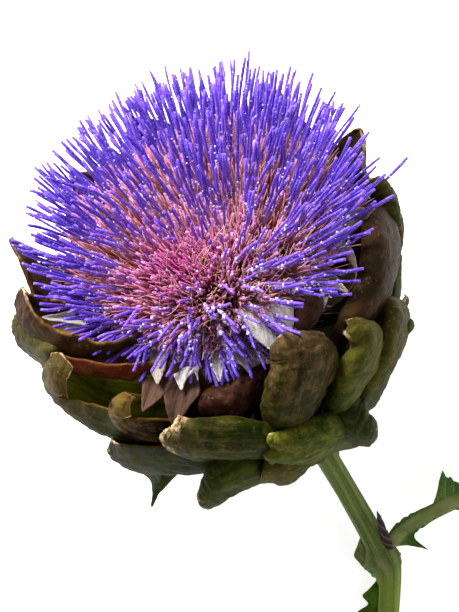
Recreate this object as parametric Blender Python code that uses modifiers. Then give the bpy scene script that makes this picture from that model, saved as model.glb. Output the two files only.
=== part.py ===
"""A globe artichoke in full bloom, as picked, lying on two of its bracts and the cut end of its stem.

Metres, +Z up, with the origin on the surface it lies on, under the middle of the whole plant. The head is
a ball of overlapping bracts round one centre. The open flower looks up and leans towards +Y, and the stem
leaves the ball low down towards -Y. A place on the head is given by two angles in degrees: how far round
the flower's axis it is, from the stem's side and positive towards +X, and how far it is down from that
axis. A place on the stem or a leaf is given in millimetres from the head's centre.
"""

import math

import bmesh
import bpy
import numpy as np
from mathutils import Matrix, Vector

MM = 0.001

# Driving dimensions
CENTRE_PLACE = (-19.6 * MM, 25.4 * MM)
CENTRE_HEIGHT = 67.5 * MM
FLOWER_LEAN = math.radians(24.4)
SKIN_GAP = 0.9 * MM

# Every bract has the same mesh and outline: its half width at the root as a share of its widest, where along
# it is widest, where its rounded root ends, and how full its thickness is between root and tip
BRACT_ROUND = 10
BRACT_RINGS = 11
ROOT_WIDTH = 0.62
WIDEST_AT = 0.55
ROOT_END = 0.12
FULLNESS_POWER = 0.7

# A bract's sheet is settled on a grid of this many places, and each place is spread over its neighbours
GRID_ALONG = 29
GRID_ACROSS = 17
SPREAD_CELLS = 2

# The florets all grow from one small seat, and stand apart towards their tips
FLORET_ROOT = (5.0, -8.2, -18.2)
FLORET_LENGTH = 83 * MM
FLORET_SPREAD = math.radians(44)
FLORET_SLANT = math.radians(4)
SEAT_RADIUS = 21 * MM
SEAT_RISE = 17.6 * MM
WAIST = ((25 * MM, 30 * MM), (35 * MM, 47 * MM))
DOME_STEPS = 6
FLORET_SIDES = 24

# The cutter that gives the foot bracts their flat spots reaches from the surface down
FOOT_CUTTER = (0.2, 0.2, 0.02)

# Each bract: (round, down) of its tip, the same of its root, then in millimetres the distances of its
# root, middle and tip from the head's centre, its half width and half thickness, how far its margins
# fall towards the centre, and how pointed its tip is. They are listed from the innermost outwards.
BRACTS = {
    "pale_1": ((-98, 64), (-84, 97), (27, 41, 58), 6.5, 0.8, 1, 1.0),
    "pale_2": ((-40, 69), (-40, 97), (28, 36, 52), 5.5, 0.8, 1, 1.0),
    "pale_3": ((-28, 70), (-26, 97), (28, 36, 52), 6.5, 0.8, 1, 1.0),
    "pale_4": ((-6, 72), (-6, 97), (29, 37, 52), 8.5, 0.9, 1, 1.0),
    "pale_5": ((13, 70), (13, 97), (30, 38, 53), 8.5, 0.9, 1, 1.0),
    "pale_6": ((45, 76), (38, 98), (32, 42, 56), 7, 0.9, 1, 1.0),
    "pale_7": ((76, 79), (64, 98), (34, 45, 60), 8, 0.9, 1, 1.0),
    "inner_bract_1": ((-39, 71), (-40, 112), (36, 43, 57), 6, 1.0, 1.5, 1.1),
    "inner_bract_2": ((-31, 74), (-24, 110), (38, 45, 58), 6.5, 1.0, 1.5, 1.1),
    "inner_bract_3": ((-20, 71), (10, 92), (44, 54, 60), 9, 1.3, 3, 1.3),
    "inner_bract_4": ((30, 66), (16, 100), (44, 54, 59), 9, 1.4, 3, 1.3),
    "inner_bract_5": ((-106, 60), (-84, 98), (38, 47, 62), 9, 1.0, 1.5, 1.2),
    "inner_bract_6": ((112, 62), (104, 108), (40, 52, 62), 12, 1.2, 2, 1.2),
    "inner_bract_7": ((152, 60), (150, 106), (40, 52, 62), 12, 1.2, 2, 1.2),
    "inner_bract_8": ((-162, 60), (-158, 106), (40, 52, 62), 12, 1.2, 2, 1.2),
    "rim_bract_1": ((-130, 58), (-104, 98), (40, 52, 68), 14, 1.4, 2, 1.2),
    "rim_bract_2": ((-108, 57), (-72, 86), (40, 49, 67), 9, 1.3, 2, 1.2),
    "rim_bract_3": ((-72, 58), (-36, 80), (42.5, 51.5, 66), 7.5, 1.2, 2, 1.2),
    "rim_bract_4": ((72, 71), (18, 92), (47, 61, 68), 14, 1.7, 4, 1.7),
    "rim_bract_5": ((102, 72), (84, 120), (45, 60, 69), 18, 1.6, 3, 1.6),
    "rim_bract_6": ((126, 64), (122, 112), (45, 59, 69), 17, 1.5, 2, 1.5),
    "rim_bract_7": ((149, 69), (148, 118), (45, 59, 68), 18, 1.5, 2, 1.5),
    "rim_bract_8": ((173, 67), (172, 118), (45, 59, 68), 18, 1.5, 2, 1.5),
    "rim_bract_9": ((-163, 73), (-160, 124), (45, 59, 68), 18, 1.5, 2, 1.5),
    "middle_bract_1": ((-102, 64), (-62, 76), (45, 55, 67), 9, 1.3, 2, 1.6),
    "middle_bract_2": ((-72, 65), (-28, 90), (40, 52, 65), 16, 1.5, 3, 1.9),
    "middle_bract_3": ((-46, 64), (-14, 78), (44, 53, 62), 5.5, 1.4, 3, 1.7),
    "middle_bract_4": ((12, 61.5), (1, 118), (50, 65, 67), 15, 2.2, 5, 1.9),
    "middle_bract_5": ((80, 68), (44, 110), (50, 64, 69), 12, 1.9, 4, 1.7),
    "middle_bract_6": ((31, 71), (10, 118), (50, 66, 69), 11, 2.2, 4, 1.9),
    "middle_bract_7": ((44, 81), (16, 122), (50, 66, 68), 12, 2.2, 4, 1.9),
    "middle_bract_8": ((122, 92), (116, 142), (50, 62, 67), 21, 1.8, 4, 1.8),
    "middle_bract_9": ((156, 94), (156, 144), (50, 62, 67), 22, 1.8, 4, 1.8),
    "middle_bract_10": ((-170, 93), (-168, 144), (50, 62, 66), 22, 1.8, 4, 1.8),
    "middle_bract_11": ((-136, 86), (-124, 136), (48, 61, 67), 21, 1.8, 4, 1.8),
    "outer_bract_1": ((-52.5, 81), (-9, 87), (46, 58, 66), 8, 1.6, 3, 2.1),
    "outer_bract_2": ((-30.5, 70), (10, 95), (53, 65, 70), 8.5, 1.9, 3, 2.3),
    "outer_bract_3": ((46, 93), (18, 132), (53, 64, 68), 12, 1.8, 4, 1.8),
    "outer_bract_4": ((-100, 108), (-52, 132), (44, 52, 56), 15, 1.8, 4, 1.8),
    "outer_bract_5": ((94, 100), (46, 134), (52, 62, 66), 17, 1.9, 4, 1.8),
    "outer_bract_6": ((-124, 116), (-66, 148), (48, 58, 62), 20, 1.8, 4, 1.8),
    "outer_bract_7": ((120, 114), (64, 148), (52, 62, 66), 20, 1.8, 4, 1.8),
    "outer_bract_8": ((178, 120), (178, 160), (50, 57, 60), 19, 1.8, 4, 1.8),
    "base_bract_1": ((-31, 102), (6, 106), (52, 62, 73), 10, 2.0, 3, 1.9),
    "base_bract_2": ((-15, 93), (0, 128), (53, 64, 66), 9, 1.9, 3, 1.9),
    "base_bract_3": ((22, 118), (-7, 97), (58, 67, 72), 9, 1.9, 3, 1.9),
    "base_bract_4": ((-70, 124), (-32, 141), (43, 49, 51), 12, 1.6, 3, 1.8),
    "base_bract_5": ((80, 124), (30, 142), (52, 58, 61), 13, 1.7, 4, 1.9),
    "base_bract_6": ((-9, 83), (22, 101), (60, 69, 70), 8, 1.9, 3, 2.3),
    "foot_bract_1": ((-146, 138), (-34, 157), (57, 65, 74), 17, 2.4, 3, 2.0),
    "foot_bract_2": ((146, 138), (34, 157), (57, 65, 74), 17, 2.4, 3, 2.0),
}

# The stem from the swollen seat of the florets, round the bend under the head, to its cut end:
# places in millimetres from the head's centre, and the radius there
STEM = (
    ((5, -2.0, -4.5), 21),
    ((5, -6.1, -13.6), 24),
    ((5, -10.7, -23.7), 20),
    ((4.5, -26, -30), 11),
    ((5, -42, -30), 6.5),
    ((5.6, -58, -32), 4.4),
    ((5.6, -72.7, -41), 4.2),
    ((5.3, -88, -51), 4.4),
    ((4.9, -98, -56), 5.2),
    ((2.8, -104.5, -59.1), 4.2),
    ((-5.8, -117.3, -63.1), 3.7),
)
STEM_RIBS = 7
RIB_DEPTH = 0.08
STEM_SIDES = 28

# Each leaf: its midrib from root to tip in millimetres from the head's centre, the half width of its stalk
# and of its blade, the half thickness of each, where the blade starts, and its lobes and their depth
LEAVES = {
    "leaf": (
        (
            (10.4, -96.6, -54.8),
            (20, -95.6, -54),
            (37, -96.4, -51.5),
            (56, -97, -50),
            (78, -94, -53),
            (100, -86, -62.5),
        ),
        (2.6, 17), (2.2, 1.3), 0.36, 3.5, 0.55,
    ),
    "head_leaf": (
        ((-40.5, -38, -6.6), (-46.5, -44.5, -3.7), (-53.6, -52, 0.5)),
        (1.5, 5), (0.8, 0.6), 0.05, 1, 0.0,
    ),
    "stem_leaf_1": (
        ((0.2, -88.5, -55.2), (-2.4, -91.4, -57.5), (-4.6, -95.5, -59.5), (-3.6, -101, -62.2)),
        (1.6, 3.4), (0.9, 0.6), 0.1, 1.5, 0.25,
    ),
    "stem_leaf_2": (
        ((-4, -104.2, -61.6), (-8, -105.6, -63.2), (-13, -109, -65), (-20, -116, -66)),
        (1.8, 4.2), (0.9, 0.6), 0.1, 2.5, 0.3,
    ),
}

# Every leaf has the same mesh, and its outline has rounded ends, a blade that is widest before its middle,
# and a stalk that tapers along the blade to a least half width, while it soon thins to the blade's thickness
LEAF_ROUND = 10
LEAF_RINGS = 30
LEAF_ROOT_END = 0.04
LEAF_TIP_START = 0.9
BLADE_SKEW = 0.8
BLADE_FULLNESS = 0.7
STALK_TAPER = 0.8
STALK_LEAST = 0.3
THINNING = 3
PATH_STEP = 0.01

# The bud in the leaf's armpit: a place, a direction, then its half profile of (radius, height)
BUD_PLACE = (10.6, -92.4, -50.6)
BUD_POINTS_TO = (0.05, 0.75, 0.66)
BUD_PROFILE = ((0, 9.5), (0.5, 8.2), (1.1, 5.5), (1.4, 3), (1.1, 0.8), (0, 0))
BUD_SIDES = 12

# Points this close are one, in metres, and on a ball of radius 1 they lie on its axis
SAME_PLACE = 1e-5
ON_AXIS = 1e-6

# Finishes: colour, roughness
GREEN = ((0.10, 0.13, 0.05), 0.5)
BRONZE = ((0.12, 0.08, 0.04), 0.5)
PINK_BROWN = ((0.34, 0.22, 0.17), 0.6)
CREAM = ((0.78, 0.70, 0.60), 0.6)
VIOLET = ((0.16, 0.06, 0.62), 0.6)
STEM_GREEN = ((0.16, 0.22, 0.07), 0.55)
LEAF_GREEN = ((0.10, 0.22, 0.05), 0.55)
DARK_PURPLE = ((0.05, 0.03, 0.04), 0.6)
FINISHES = {
    "pale": CREAM,
    "inner": PINK_BROWN,
    "rim": BRONZE,
    "middle": GREEN,
    "outer": GREEN,
    "base": GREEN,
    "foot": GREEN,
}

flower_axis = np.array([0.0, math.sin(FLOWER_LEAN), math.cos(FLOWER_LEAN)])
stem_side = np.array([0.0, -math.cos(FLOWER_LEAN), math.sin(FLOWER_LEAN)])
right_side = np.array([1.0, 0.0, 0.0])
centre = np.array([*CENTRE_PLACE, CENTRE_HEIGHT])


def clear_scene():
    for old in list(bpy.data.objects):
        bpy.data.objects.remove(old, do_unlink=True)


def from_centre(place):
    return centre + np.array(place) * MM


def head_direction(around, down):
    """The unit vector from the head's centre at these two angles, in degrees."""
    turn, fall = math.radians(around), math.radians(down)
    level = math.cos(turn) * stem_side + math.sin(turn) * right_side
    return math.sin(fall) * level + math.cos(fall) * flower_axis


def outline(along, point):
    """Half width of a bract as a share of its widest, from root (0) to tip (1)."""
    root = ROOT_WIDTH + (1 - ROOT_WIDTH) * np.sin(0.5 * np.pi * np.clip(along / WIDEST_AT, 0, 1))
    past = np.clip((along - WIDEST_AT) / (1 - WIDEST_AT), 0, 1)
    tip = (1 - past**point) ** (1 / point)
    rounded = np.sqrt(1 - (1 - np.clip(along / ROOT_END, 0, 1)) ** 2)
    return root * tip * rounded


def fullness(along):
    """Half thickness of a bract as a share of its thickest."""
    return np.sqrt(np.clip(1 - (2 * along - 1) ** 2, 0, 1)) ** FULLNESS_POWER


def grid_value(grid, along, across):
    """Bilinear value of a grid at along 0 to 1 and across -1 to 1."""
    rows, columns = grid.shape
    i = np.clip(along, 0, 1) * (rows - 1)
    j = (np.clip(across, -1, 1) + 1) / 2 * (columns - 1)
    i0 = np.minimum(i.astype(int), rows - 2)
    j0 = np.minimum(j.astype(int), columns - 2)
    u, v = i - i0, j - j0
    low = grid[i0, j0] * (1 - v) + grid[i0, j0 + 1] * v
    high = grid[i0 + 1, j0] * (1 - v) + grid[i0 + 1, j0 + 1] * v
    return low * (1 - u) + high * u


def windows(grid, reach):
    """The grid's neighbours within reach, stacked on a new first axis."""
    padded = np.pad(grid, reach, mode="edge")
    rows, columns = grid.shape
    shifts = range(2 * reach + 1)
    return np.stack([padded[a : a + rows, b : b + columns] for a in shifts for b in shifts])


class Bract:
    """One bract as a sheet over the ball: its middle surface has a distance from the centre at each place."""

    def __init__(self, row):
        tip, root, radii, half_width, half_thick, crown, point = row
        self.start = head_direction(*root)
        end = head_direction(*tip)
        self.arc = math.acos(float(self.start @ end))
        self.forward = end - self.start * float(self.start @ end)
        self.forward /= np.linalg.norm(self.forward)
        self.side = np.cross(self.start, self.forward)
        self.radii = [r * MM for r in radii]
        self.half_width = half_width * MM
        self.half_thick = half_thick * MM
        self.crown = crown * MM
        self.point = point
        self.middle = None

    def own_radius(self, along):
        """The parabola through the bract's distances from the centre at its root, half way and at its tip."""
        root, middle, tip = self.radii
        near_root = root * (1 - along) * (1 - 2 * along)
        near_tip = tip * along * (2 * along - 1)
        return near_root + 4 * middle * along * (1 - along) + near_tip

    def half_angle(self, along):
        return self.half_width * outline(along, self.point) / self.own_radius(along)

    def direction(self, along, across):
        turn = along * self.arc
        lean = across * self.half_angle(along)
        level = np.cos(turn)[..., None] * self.start + np.sin(turn)[..., None] * self.forward
        return np.cos(lean)[..., None] * level + np.sin(lean)[..., None] * self.side

    def outer_radius(self, directions):
        """Distance of its outer face from the centre along each direction, 0 where it isn't."""
        along = np.arctan2(directions @ self.forward, directions @ self.start) / self.arc
        inside = (along > 0) & (along < 1)
        along = np.clip(along, 0.001, 0.999)
        across = np.arcsin(np.clip(directions @ self.side, -1, 1)) / self.half_angle(along)
        inside &= np.abs(across) < 1
        bulge = self.half_thick * fullness(along) * np.sqrt(np.clip(1 - across**2, 0, 1))
        return np.where(inside, grid_value(self.middle, along, across) + bulge, 0)

    def settle(self, earlier):
        """Lays the sheet at its own distance, or just clear of the earlier bracts that it covers."""
        along, across = np.meshgrid(
            np.linspace(0, 1, GRID_ALONG), np.linspace(-1, 1, GRID_ACROSS), indexing="ij"
        )
        place = self.direction(np.clip(along, 0.01, 0.99), across)
        under = np.zeros_like(along)
        for other in earlier:
            under = np.maximum(under, other.outer_radius(place))
        bulge = self.half_thick * fullness(along) * np.sqrt(np.clip(1 - across**2, 0, 1))
        lowest = np.where(under > 0, under + SKIN_GAP + bulge, 0)
        wanted = self.own_radius(along) - self.crown * across**2
        settled = np.maximum(lowest, wanted)
        widened = windows(settled, SPREAD_CELLS).max(axis=0)
        self.middle = windows(widened, SPREAD_CELLS).mean(axis=0)

    def surface(self, along, across, outwards):
        radius = grid_value(self.middle, along, across) + outwards * self.half_thick * fullness(along)
        return centre + radius[..., None] * self.direction(along, across)


def add_material(obj, name, finish):
    colour, roughness = finish
    material = bpy.data.materials.new(name)
    material.use_nodes = True
    shader = material.node_tree.nodes["Principled BSDF"]
    shader.inputs["Base Color"].default_value = (*colour, 1)
    shader.inputs["Roughness"].default_value = roughness
    shader.inputs["Metallic"].default_value = 0
    obj.data.materials.append(material)


def new_object(name, data, collection, finish):
    obj = bpy.data.objects.new(name, data)
    collection.objects.link(obj)
    add_material(obj, name, finish)
    if obj.type == "MESH":
        data.shade_smooth()
    return obj


def sphere_mesh(name, sides, rings, place):
    """A closed mesh: a sphere's points moved by place(along, across, outwards).

    Along runs from one pole (0) to the other (1). Across and outwards are the two parts of the direction
    round the sphere there, each from -1 to 1.
    """
    mesh = bpy.data.meshes.new(name)
    ball = bmesh.new()
    bmesh.ops.create_uvsphere(ball, u_segments=sides, v_segments=rings, radius=1)
    ball.to_mesh(mesh)
    ball.free()
    points = np.empty(len(mesh.vertices) * 3)
    mesh.vertices.foreach_get("co", points)
    points = points.reshape(-1, 3)
    along = np.clip(1 - np.arccos(np.clip(points[:, 2], -1, 1)) / np.pi, 0, 1)
    level = np.hypot(points[:, 0], points[:, 1])
    off_axis = np.maximum(level, ON_AXIS)
    across = np.where(level > ON_AXIS, points[:, 0] / off_axis, 0)
    outwards = np.where(level > ON_AXIS, points[:, 1] / off_axis, 0)
    mesh.vertices.foreach_set("co", place(along, across, outwards).ravel())
    mesh.update()
    return mesh


def make_bract(name, bract, collection):
    """A bract is a sphere with its poles at the root and the tip, flattened onto the bract's sheet."""
    mesh = sphere_mesh(name, BRACT_ROUND, BRACT_RINGS, bract.surface)
    return new_object(name, mesh, collection, FINISHES[name.split("_")[0]])


def cut_foot(obj, cutter):
    flat = obj.modifiers.new("flat spot", "BOOLEAN")
    flat.operation = "DIFFERENCE"
    flat.solver = "EXACT"
    flat.object = cutter


def make_surface_cutter(collection):
    """A box whose top is the surface that the plant lies on."""
    mesh = bpy.data.meshes.new("under_surface")
    box = bmesh.new()
    bmesh.ops.create_cube(box, size=1)
    bmesh.ops.scale(box, vec=FOOT_CUTTER, verts=box.verts)
    bmesh.ops.translate(box, vec=(0, 0, -FOOT_CUTTER[2] / 2), verts=box.verts)
    box.to_mesh(mesh)
    box.free()
    obj = bpy.data.objects.new("under_surface", mesh)
    collection.objects.link(obj)
    obj.display_type = "WIRE"
    obj.hide_render = True
    return obj


def turned_object(name, profile, sides, collection, finish):
    """A solid turned round Z from a half profile of (radius, height), top to bottom."""
    mesh = bpy.data.meshes.new(name)
    edges = [(i, i + 1) for i in range(len(profile) - 1)]
    mesh.from_pydata([(x, 0, z) for x, z in profile], edges, [])
    obj = new_object(name, mesh, collection, finish)
    turned = obj.modifiers.new("turned", "SCREW")
    turned.steps = turned.render_steps = sides
    turned.use_merge_vertices = True
    turned.merge_threshold = SAME_PLACE
    turned.use_smooth_shade = True
    return obj


def make_florets(collection):
    """The brush of florets as one turned solid, from its seat on the stem's swollen end to the domed tips."""
    turns = [FLORET_SPREAD * i / DOME_STEPS for i in range(DOME_STEPS + 1)]
    dome = [(FLORET_LENGTH * math.sin(turn), FLORET_LENGTH * math.cos(turn)) for turn in turns]
    neck = [*reversed(WAIST), (SEAT_RADIUS, SEAT_RISE), (0, SEAT_RISE)]
    obj = turned_object("florets", dome + neck, FLORET_SIDES, collection, VIOLET)
    lean = Matrix.Rotation(-FLOWER_LEAN, 4, "X") @ Matrix.Rotation(FLORET_SLANT, 4, "Y")
    obj.matrix_world = Matrix.Translation(from_centre(FLORET_ROOT)) @ lean
    return obj


def make_stem(collection, helpers):
    """A curve with a ribbed outline, swollen at its top end into the seat of the florets."""
    outline_curve = bpy.data.curves.new("stem_outline", "CURVE")
    outline_curve.dimensions = "2D"
    ring = outline_curve.splines.new("POLY")
    ring.points.add(STEM_SIDES - 1)
    for i, point in enumerate(ring.points):
        turn = -2 * math.pi * i / STEM_SIDES
        radius = 1 + RIB_DEPTH * math.cos(STEM_RIBS * turn)
        point.co = (radius * math.cos(turn) * MM, radius * math.sin(turn) * MM, 0, 1)
    ring.use_cyclic_u = True
    guide = bpy.data.objects.new("stem_outline", outline_curve)
    helpers.objects.link(guide)
    guide.display_type = "WIRE"
    guide.hide_render = True
    curve = bpy.data.curves.new("stem", "CURVE")
    curve.dimensions = "3D"
    curve.bevel_mode = "OBJECT"
    curve.bevel_object = guide
    curve.use_fill_caps = True
    curve.resolution_u = 3
    line = curve.splines.new("BEZIER")
    line.bezier_points.add(len(STEM) - 1)
    for point, (place, radius) in zip(line.bezier_points, STEM):
        point.co = from_centre(place)
        point.radius = radius
        point.handle_left_type = point.handle_right_type = "AUTO"
    return new_object("stem", curve, collection, STEM_GREEN)


def smooth_path(points, along):
    """A curve through points at along 0 to 1, each stretch a Catmull-Rom cubic."""
    ends = np.vstack([2 * points[0] - points[1], points, 2 * points[-1] - points[-2]])
    place = np.clip(along, 0, 1) * (len(points) - 1)
    i = np.minimum(place.astype(int), len(points) - 2)
    s = (place - i)[:, None]
    a, b, c, d = ends[i], ends[i + 1], ends[i + 2], ends[i + 3]
    return 0.5 * (2 * b + (c - a) * s + (2 * a - 5 * b + 4 * c - d) * s**2 + (3 * b - a - 3 * c + d) * s**3)


def make_leaf(name, collection):
    """A leaf with a round stalk and a lobed blade, thin at its margins, as one closed piece."""
    path, half_widths, half_thicks, blade_start, lobes, lobe_depth = LEAVES[name]
    midrib = np.array([from_centre(place) for place in path])

    def place(along, across, outwards):
        at = smooth_path(midrib, along)
        forward = smooth_path(midrib, along + PATH_STEP) - smooth_path(midrib, along - PATH_STEP)
        side = np.cross([0.0, 0.0, 1.0], forward)
        side /= np.linalg.norm(side, axis=1)[:, None]
        up = np.cross(forward, side)
        up /= np.linalg.norm(up, axis=1)[:, None]
        spread = np.clip((along - blade_start) / (1 - blade_start), 0, 1)
        lobed = 1 - lobe_depth * (0.5 + 0.5 * np.cos(2 * np.pi * lobes * spread))
        blade = np.sin(np.pi * spread**BLADE_SKEW) ** BLADE_FULLNESS * lobed
        to_root = 1 - np.clip(along / LEAF_ROOT_END, 0, 1)
        to_tip = np.clip((along - LEAF_TIP_START) / (1 - LEAF_TIP_START), 0, 1)
        ends = np.sqrt(np.clip(1 - to_root**2, 0, 1)) * np.sqrt(np.clip(1 - to_tip**2, 0, 1))
        stalk = np.maximum(half_widths[0] * (1 - STALK_TAPER * spread), STALK_LEAST)
        width = (stalk + (half_widths[1] - half_widths[0]) * blade) * MM * ends
        thinned = np.clip(THINNING * spread, 0, 1)
        thick = (half_thicks[0] + (half_thicks[1] - half_thicks[0]) * thinned) * MM * ends
        return at + (across * width)[:, None] * side + (outwards * thick)[:, None] * up

    mesh = sphere_mesh(name, LEAF_ROUND, LEAF_RINGS, place)
    return new_object(name, mesh, collection, LEAF_GREEN)


def make_bud(collection):
    profile = [(x * MM, z * MM) for x, z in BUD_PROFILE]
    obj = turned_object("bud", profile, BUD_SIDES, collection, DARK_PURPLE)
    turn = Vector((0, 0, 1)).rotation_difference(Vector(BUD_POINTS_TO)).to_matrix().to_4x4()
    obj.matrix_world = Matrix.Translation(from_centre(BUD_PLACE)) @ turn
    return obj


def main():
    clear_scene()
    parts = bpy.data.collections.new("artichoke")
    helpers = bpy.data.collections.new("cutters")
    helpers.hide_render = True
    bpy.context.scene.collection.children.link(parts)
    bpy.context.scene.collection.children.link(helpers)
    cutter = make_surface_cutter(helpers)
    laid = []
    for name, row in BRACTS.items():
        bract = Bract(row)
        bract.settle(laid)
        laid.append(bract)
        obj = make_bract(name, bract, parts)
        if name.startswith("foot"):
            cut_foot(obj, cutter)
    make_florets(parts)
    make_stem(parts, helpers)
    for name in LEAVES:
        make_leaf(name, parts)
    make_bud(parts)


main()
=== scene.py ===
import math
import bmesh
import bpy
import numpy as np
from mathutils import Matrix


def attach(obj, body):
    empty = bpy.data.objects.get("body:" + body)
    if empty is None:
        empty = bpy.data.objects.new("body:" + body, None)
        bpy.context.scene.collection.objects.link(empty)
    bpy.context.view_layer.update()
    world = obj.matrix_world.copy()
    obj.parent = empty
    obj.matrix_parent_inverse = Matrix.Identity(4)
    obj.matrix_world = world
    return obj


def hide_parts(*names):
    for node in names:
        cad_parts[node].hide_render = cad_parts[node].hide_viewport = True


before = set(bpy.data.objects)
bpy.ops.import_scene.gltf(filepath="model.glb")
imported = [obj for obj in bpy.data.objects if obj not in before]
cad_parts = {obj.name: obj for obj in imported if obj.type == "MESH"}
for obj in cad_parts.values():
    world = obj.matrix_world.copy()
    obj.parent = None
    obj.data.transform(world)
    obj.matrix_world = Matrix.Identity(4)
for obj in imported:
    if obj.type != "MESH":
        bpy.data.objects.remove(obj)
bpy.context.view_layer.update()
mm = 0.001

# The head: its bracts lie on a ball round one centre, in mm, and the open flower leans from straight up
# towards +Y, in degrees
head = {"centre": (-19.6, 25.4, 67.5), "lean": 24.4}
headCentre = np.array(head["centre"]) * mm
leanAngle = math.radians(head["lean"])
flowerAxis = np.array([0.0, math.sin(leanAngle), math.cos(leanAngle)])
stemSide = np.array([0.0, -math.cos(leanAngle), math.sin(leanAngle)])
rightSide = np.array([1.0, 0.0, 0.0])


def rgb(*screen):
    # screen colour from 0 to 255 to the linear colour that a shader takes
    share = np.array(screen) / 255
    linear = np.where(share <= 0.04045, share / 12.92, ((share + 0.055) / 1.055) ** 2.4)
    return (*(float(part) for part in linear), 1.0)


def smooth(low, high, value):
    # 0 below low, 1 above high, and an even S between them
    share = np.clip((value - low) / (high - low), 0, 1)
    return share * share * (3 - 2 * share)


def unit(vectors):
    return vectors / np.maximum(np.linalg.norm(vectors, axis=-1, keepdims=True), 1e-12)


def fromCentre(places):
    return headCentre + np.array(places, float) * mm


def turned(turn, first, second):
    # the first vector turned towards the second, in radians: cosine of the one plus sine of the other
    return np.cos(turn)[..., None] * first + np.sin(turn)[..., None] * second


def headDirection(around, down, axis=flowerAxis, front=stemSide, right=rightSide):
    # unit vectors at these two angles in degrees: round the axis from the front, and down from the axis
    return turned(np.radians(down), axis, turned(np.radians(around), front, right))


def onSide(around, side, low, high=1):
    # 1 for angles round the brush that lie on one side of it, in degrees, and 0 for those that lie off it
    return smooth(low, high, np.cos(np.radians(around - side)))


def latticeNoise(points, cell, seed):
    # smooth noise from -1 to 1: random values at the corners of cells of this size, blended between them
    place = np.asarray(points) / cell
    corner = np.floor(place).astype(np.int64)
    part = place - corner
    part = part * part * (3 - 2 * part)
    total = np.zeros(place.shape[:-1])
    for step in np.ndindex(2, 2, 2):
        at = corner + np.array(step)
        code = at[..., 0] * 73856093 ^ at[..., 1] * 19349663 ^ at[..., 2] * 83492791 ^ seed * 2654435761
        code = (code ^ (code >> 13)) * 1274126177 & 0x7FFFFFFF
        value = ((code ^ (code >> 16)) & 0xFFFF) / 32767.5 - 1
        total += value * np.where(np.array(step) == 1, part, 1 - part).prod(axis=-1)
    return total


def curveShares(count, along):
    # for places from 0 to 1 along a curve through this many points: the four points round each place and
    # their shares, from the Catmull-Rom cubic; the points carry one more at each end
    place = np.clip(along, 0, 1) * (count - 1)
    i = np.minimum(place.astype(int), count - 2)
    s = place - i
    shares = (-s + 2 * s**2 - s**3, 2 - 5 * s**2 + 3 * s**3, s + 4 * s**2 - 3 * s**3, s**3 - s**2)
    return [(i + step, 0.5 * share) for step, share in enumerate(shares)]


def withEnds(points, axis=0):
    # the points with one more at each end, as far on as the last step
    points = np.moveaxis(np.asarray(points, float), axis, 0)
    points = np.concatenate([2 * points[:1] - points[1:2], points, 2 * points[-1:] - points[-2:-1]])
    return np.moveaxis(points, 0, axis)


def smoothPath(points, along):
    # a smooth curve through the points or numbers, at places along from 0 to 1
    ends = withEnds(points)
    return sum((ends[i].T * share).T for i, share in curveShares(len(points), along))


def smoothNet(net, along, across):
    # a smooth sheet through a grid of points, at places along and across from 0 to 1
    ends = withEnds(withEnds(net), 1)
    total = 0
    for i, first in curveShares(net.shape[0], along):
        for j, second in curveShares(net.shape[1], across):
            total = total + ends[i, j] * (first * second)[..., None]
    return total


def pathFrames(path, up):
    # unit vectors forward, sideways and upwards along paths of points, upwards as near to up as it can be
    forward = unit(np.gradient(path, axis=-2))
    sideways = unit(np.cross(np.broadcast_to(up, path.shape), forward))
    return forward, sideways, np.cross(forward, sideways)


def surfaceNormals(points):
    return unit(np.cross(np.gradient(points, axis=1), np.gradient(points, axis=0)))


def bothFaces(front, back):
    # a grid's rings over the front and on over the back, without the two edges that they share
    return np.concatenate([front, back[:, -2:0:-1]], axis=1)


def makeMesh(name, points, faces, attributes=None):
    # one object from arrays: points, faces as rows of corner numbers (-1 fills a triangle), point values
    faces = np.asarray(faces)
    corners = faces[faces >= 0]
    sizes = (faces >= 0).sum(axis=1)
    mesh = bpy.data.meshes.new(name)
    mesh.vertices.add(len(points))
    mesh.vertices.foreach_set("co", np.ascontiguousarray(points, np.float32).ravel())
    mesh.loops.add(len(corners))
    mesh.loops.foreach_set("vertex_index", corners.astype(np.int32))
    mesh.polygons.add(len(faces))
    mesh.polygons.foreach_set("loop_start", (np.cumsum(sizes) - sizes).astype(np.int32))
    mesh.update(calc_edges=True)
    for key, values in (attributes or {}).items():
        layer = mesh.attributes.new(key, "FLOAT", "POINT")
        layer.data.foreach_set("value", np.ascontiguousarray(values, np.float32).ravel())
    mesh.shade_smooth()
    mesh.validate()
    piece = bpy.data.objects.new(name, mesh)
    bpy.context.scene.collection.objects.link(piece)
    return piece


def ringWalls(rings, sides, first=0):
    # four-cornered faces between neighbouring rings of points, each ring closed on itself
    i, j = np.meshgrid(np.arange(rings - 1), np.arange(sides), indexing="ij")
    here, there, beside = first + i * sides, first + (i + 1) * sides, (j + 1) % sides
    return np.stack([here + j, here + beside, there + beside, there + j], axis=-1).reshape(-1, 4)


def tubeFaces(rings, sides):
    # faces of a closed tube whose points are its first pole, its rings in order, and its last pole
    j = np.arange(sides)
    beside, none, base = (j + 1) % sides, np.full(sides, -1), 1 + (rings - 1) * sides
    first = np.stack([0 * j, 1 + beside, 1 + j, none], axis=-1)
    last = np.stack([0 * j + base + sides, base + j, base + beside, none], axis=-1)
    return np.concatenate([ringWalls(rings, sides, 1), first, last])


def sheetFaces(rings, columns):
    # faces of a flat bag whose rings go over its outer face and back over its inner one, each end closed
    # straight across from face to face
    around = 2 * columns
    j = np.arange(1, columns - 1)
    middle = np.stack([j, j + 1, around - j - 1, around - j], axis=-1)
    sides = [[0, 1, around - 1, -1], [columns - 1, columns, columns + 1, -1]]
    first = np.concatenate([middle, sides])
    last = np.where(first >= 0, first + (rings - 1) * around, -1)
    turnedOver = np.concatenate([middle[:, ::-1], [side[2::-1] + side[3:] for side in sides]])
    return np.concatenate([ringWalls(rings, around), turnedOver, last])


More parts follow.
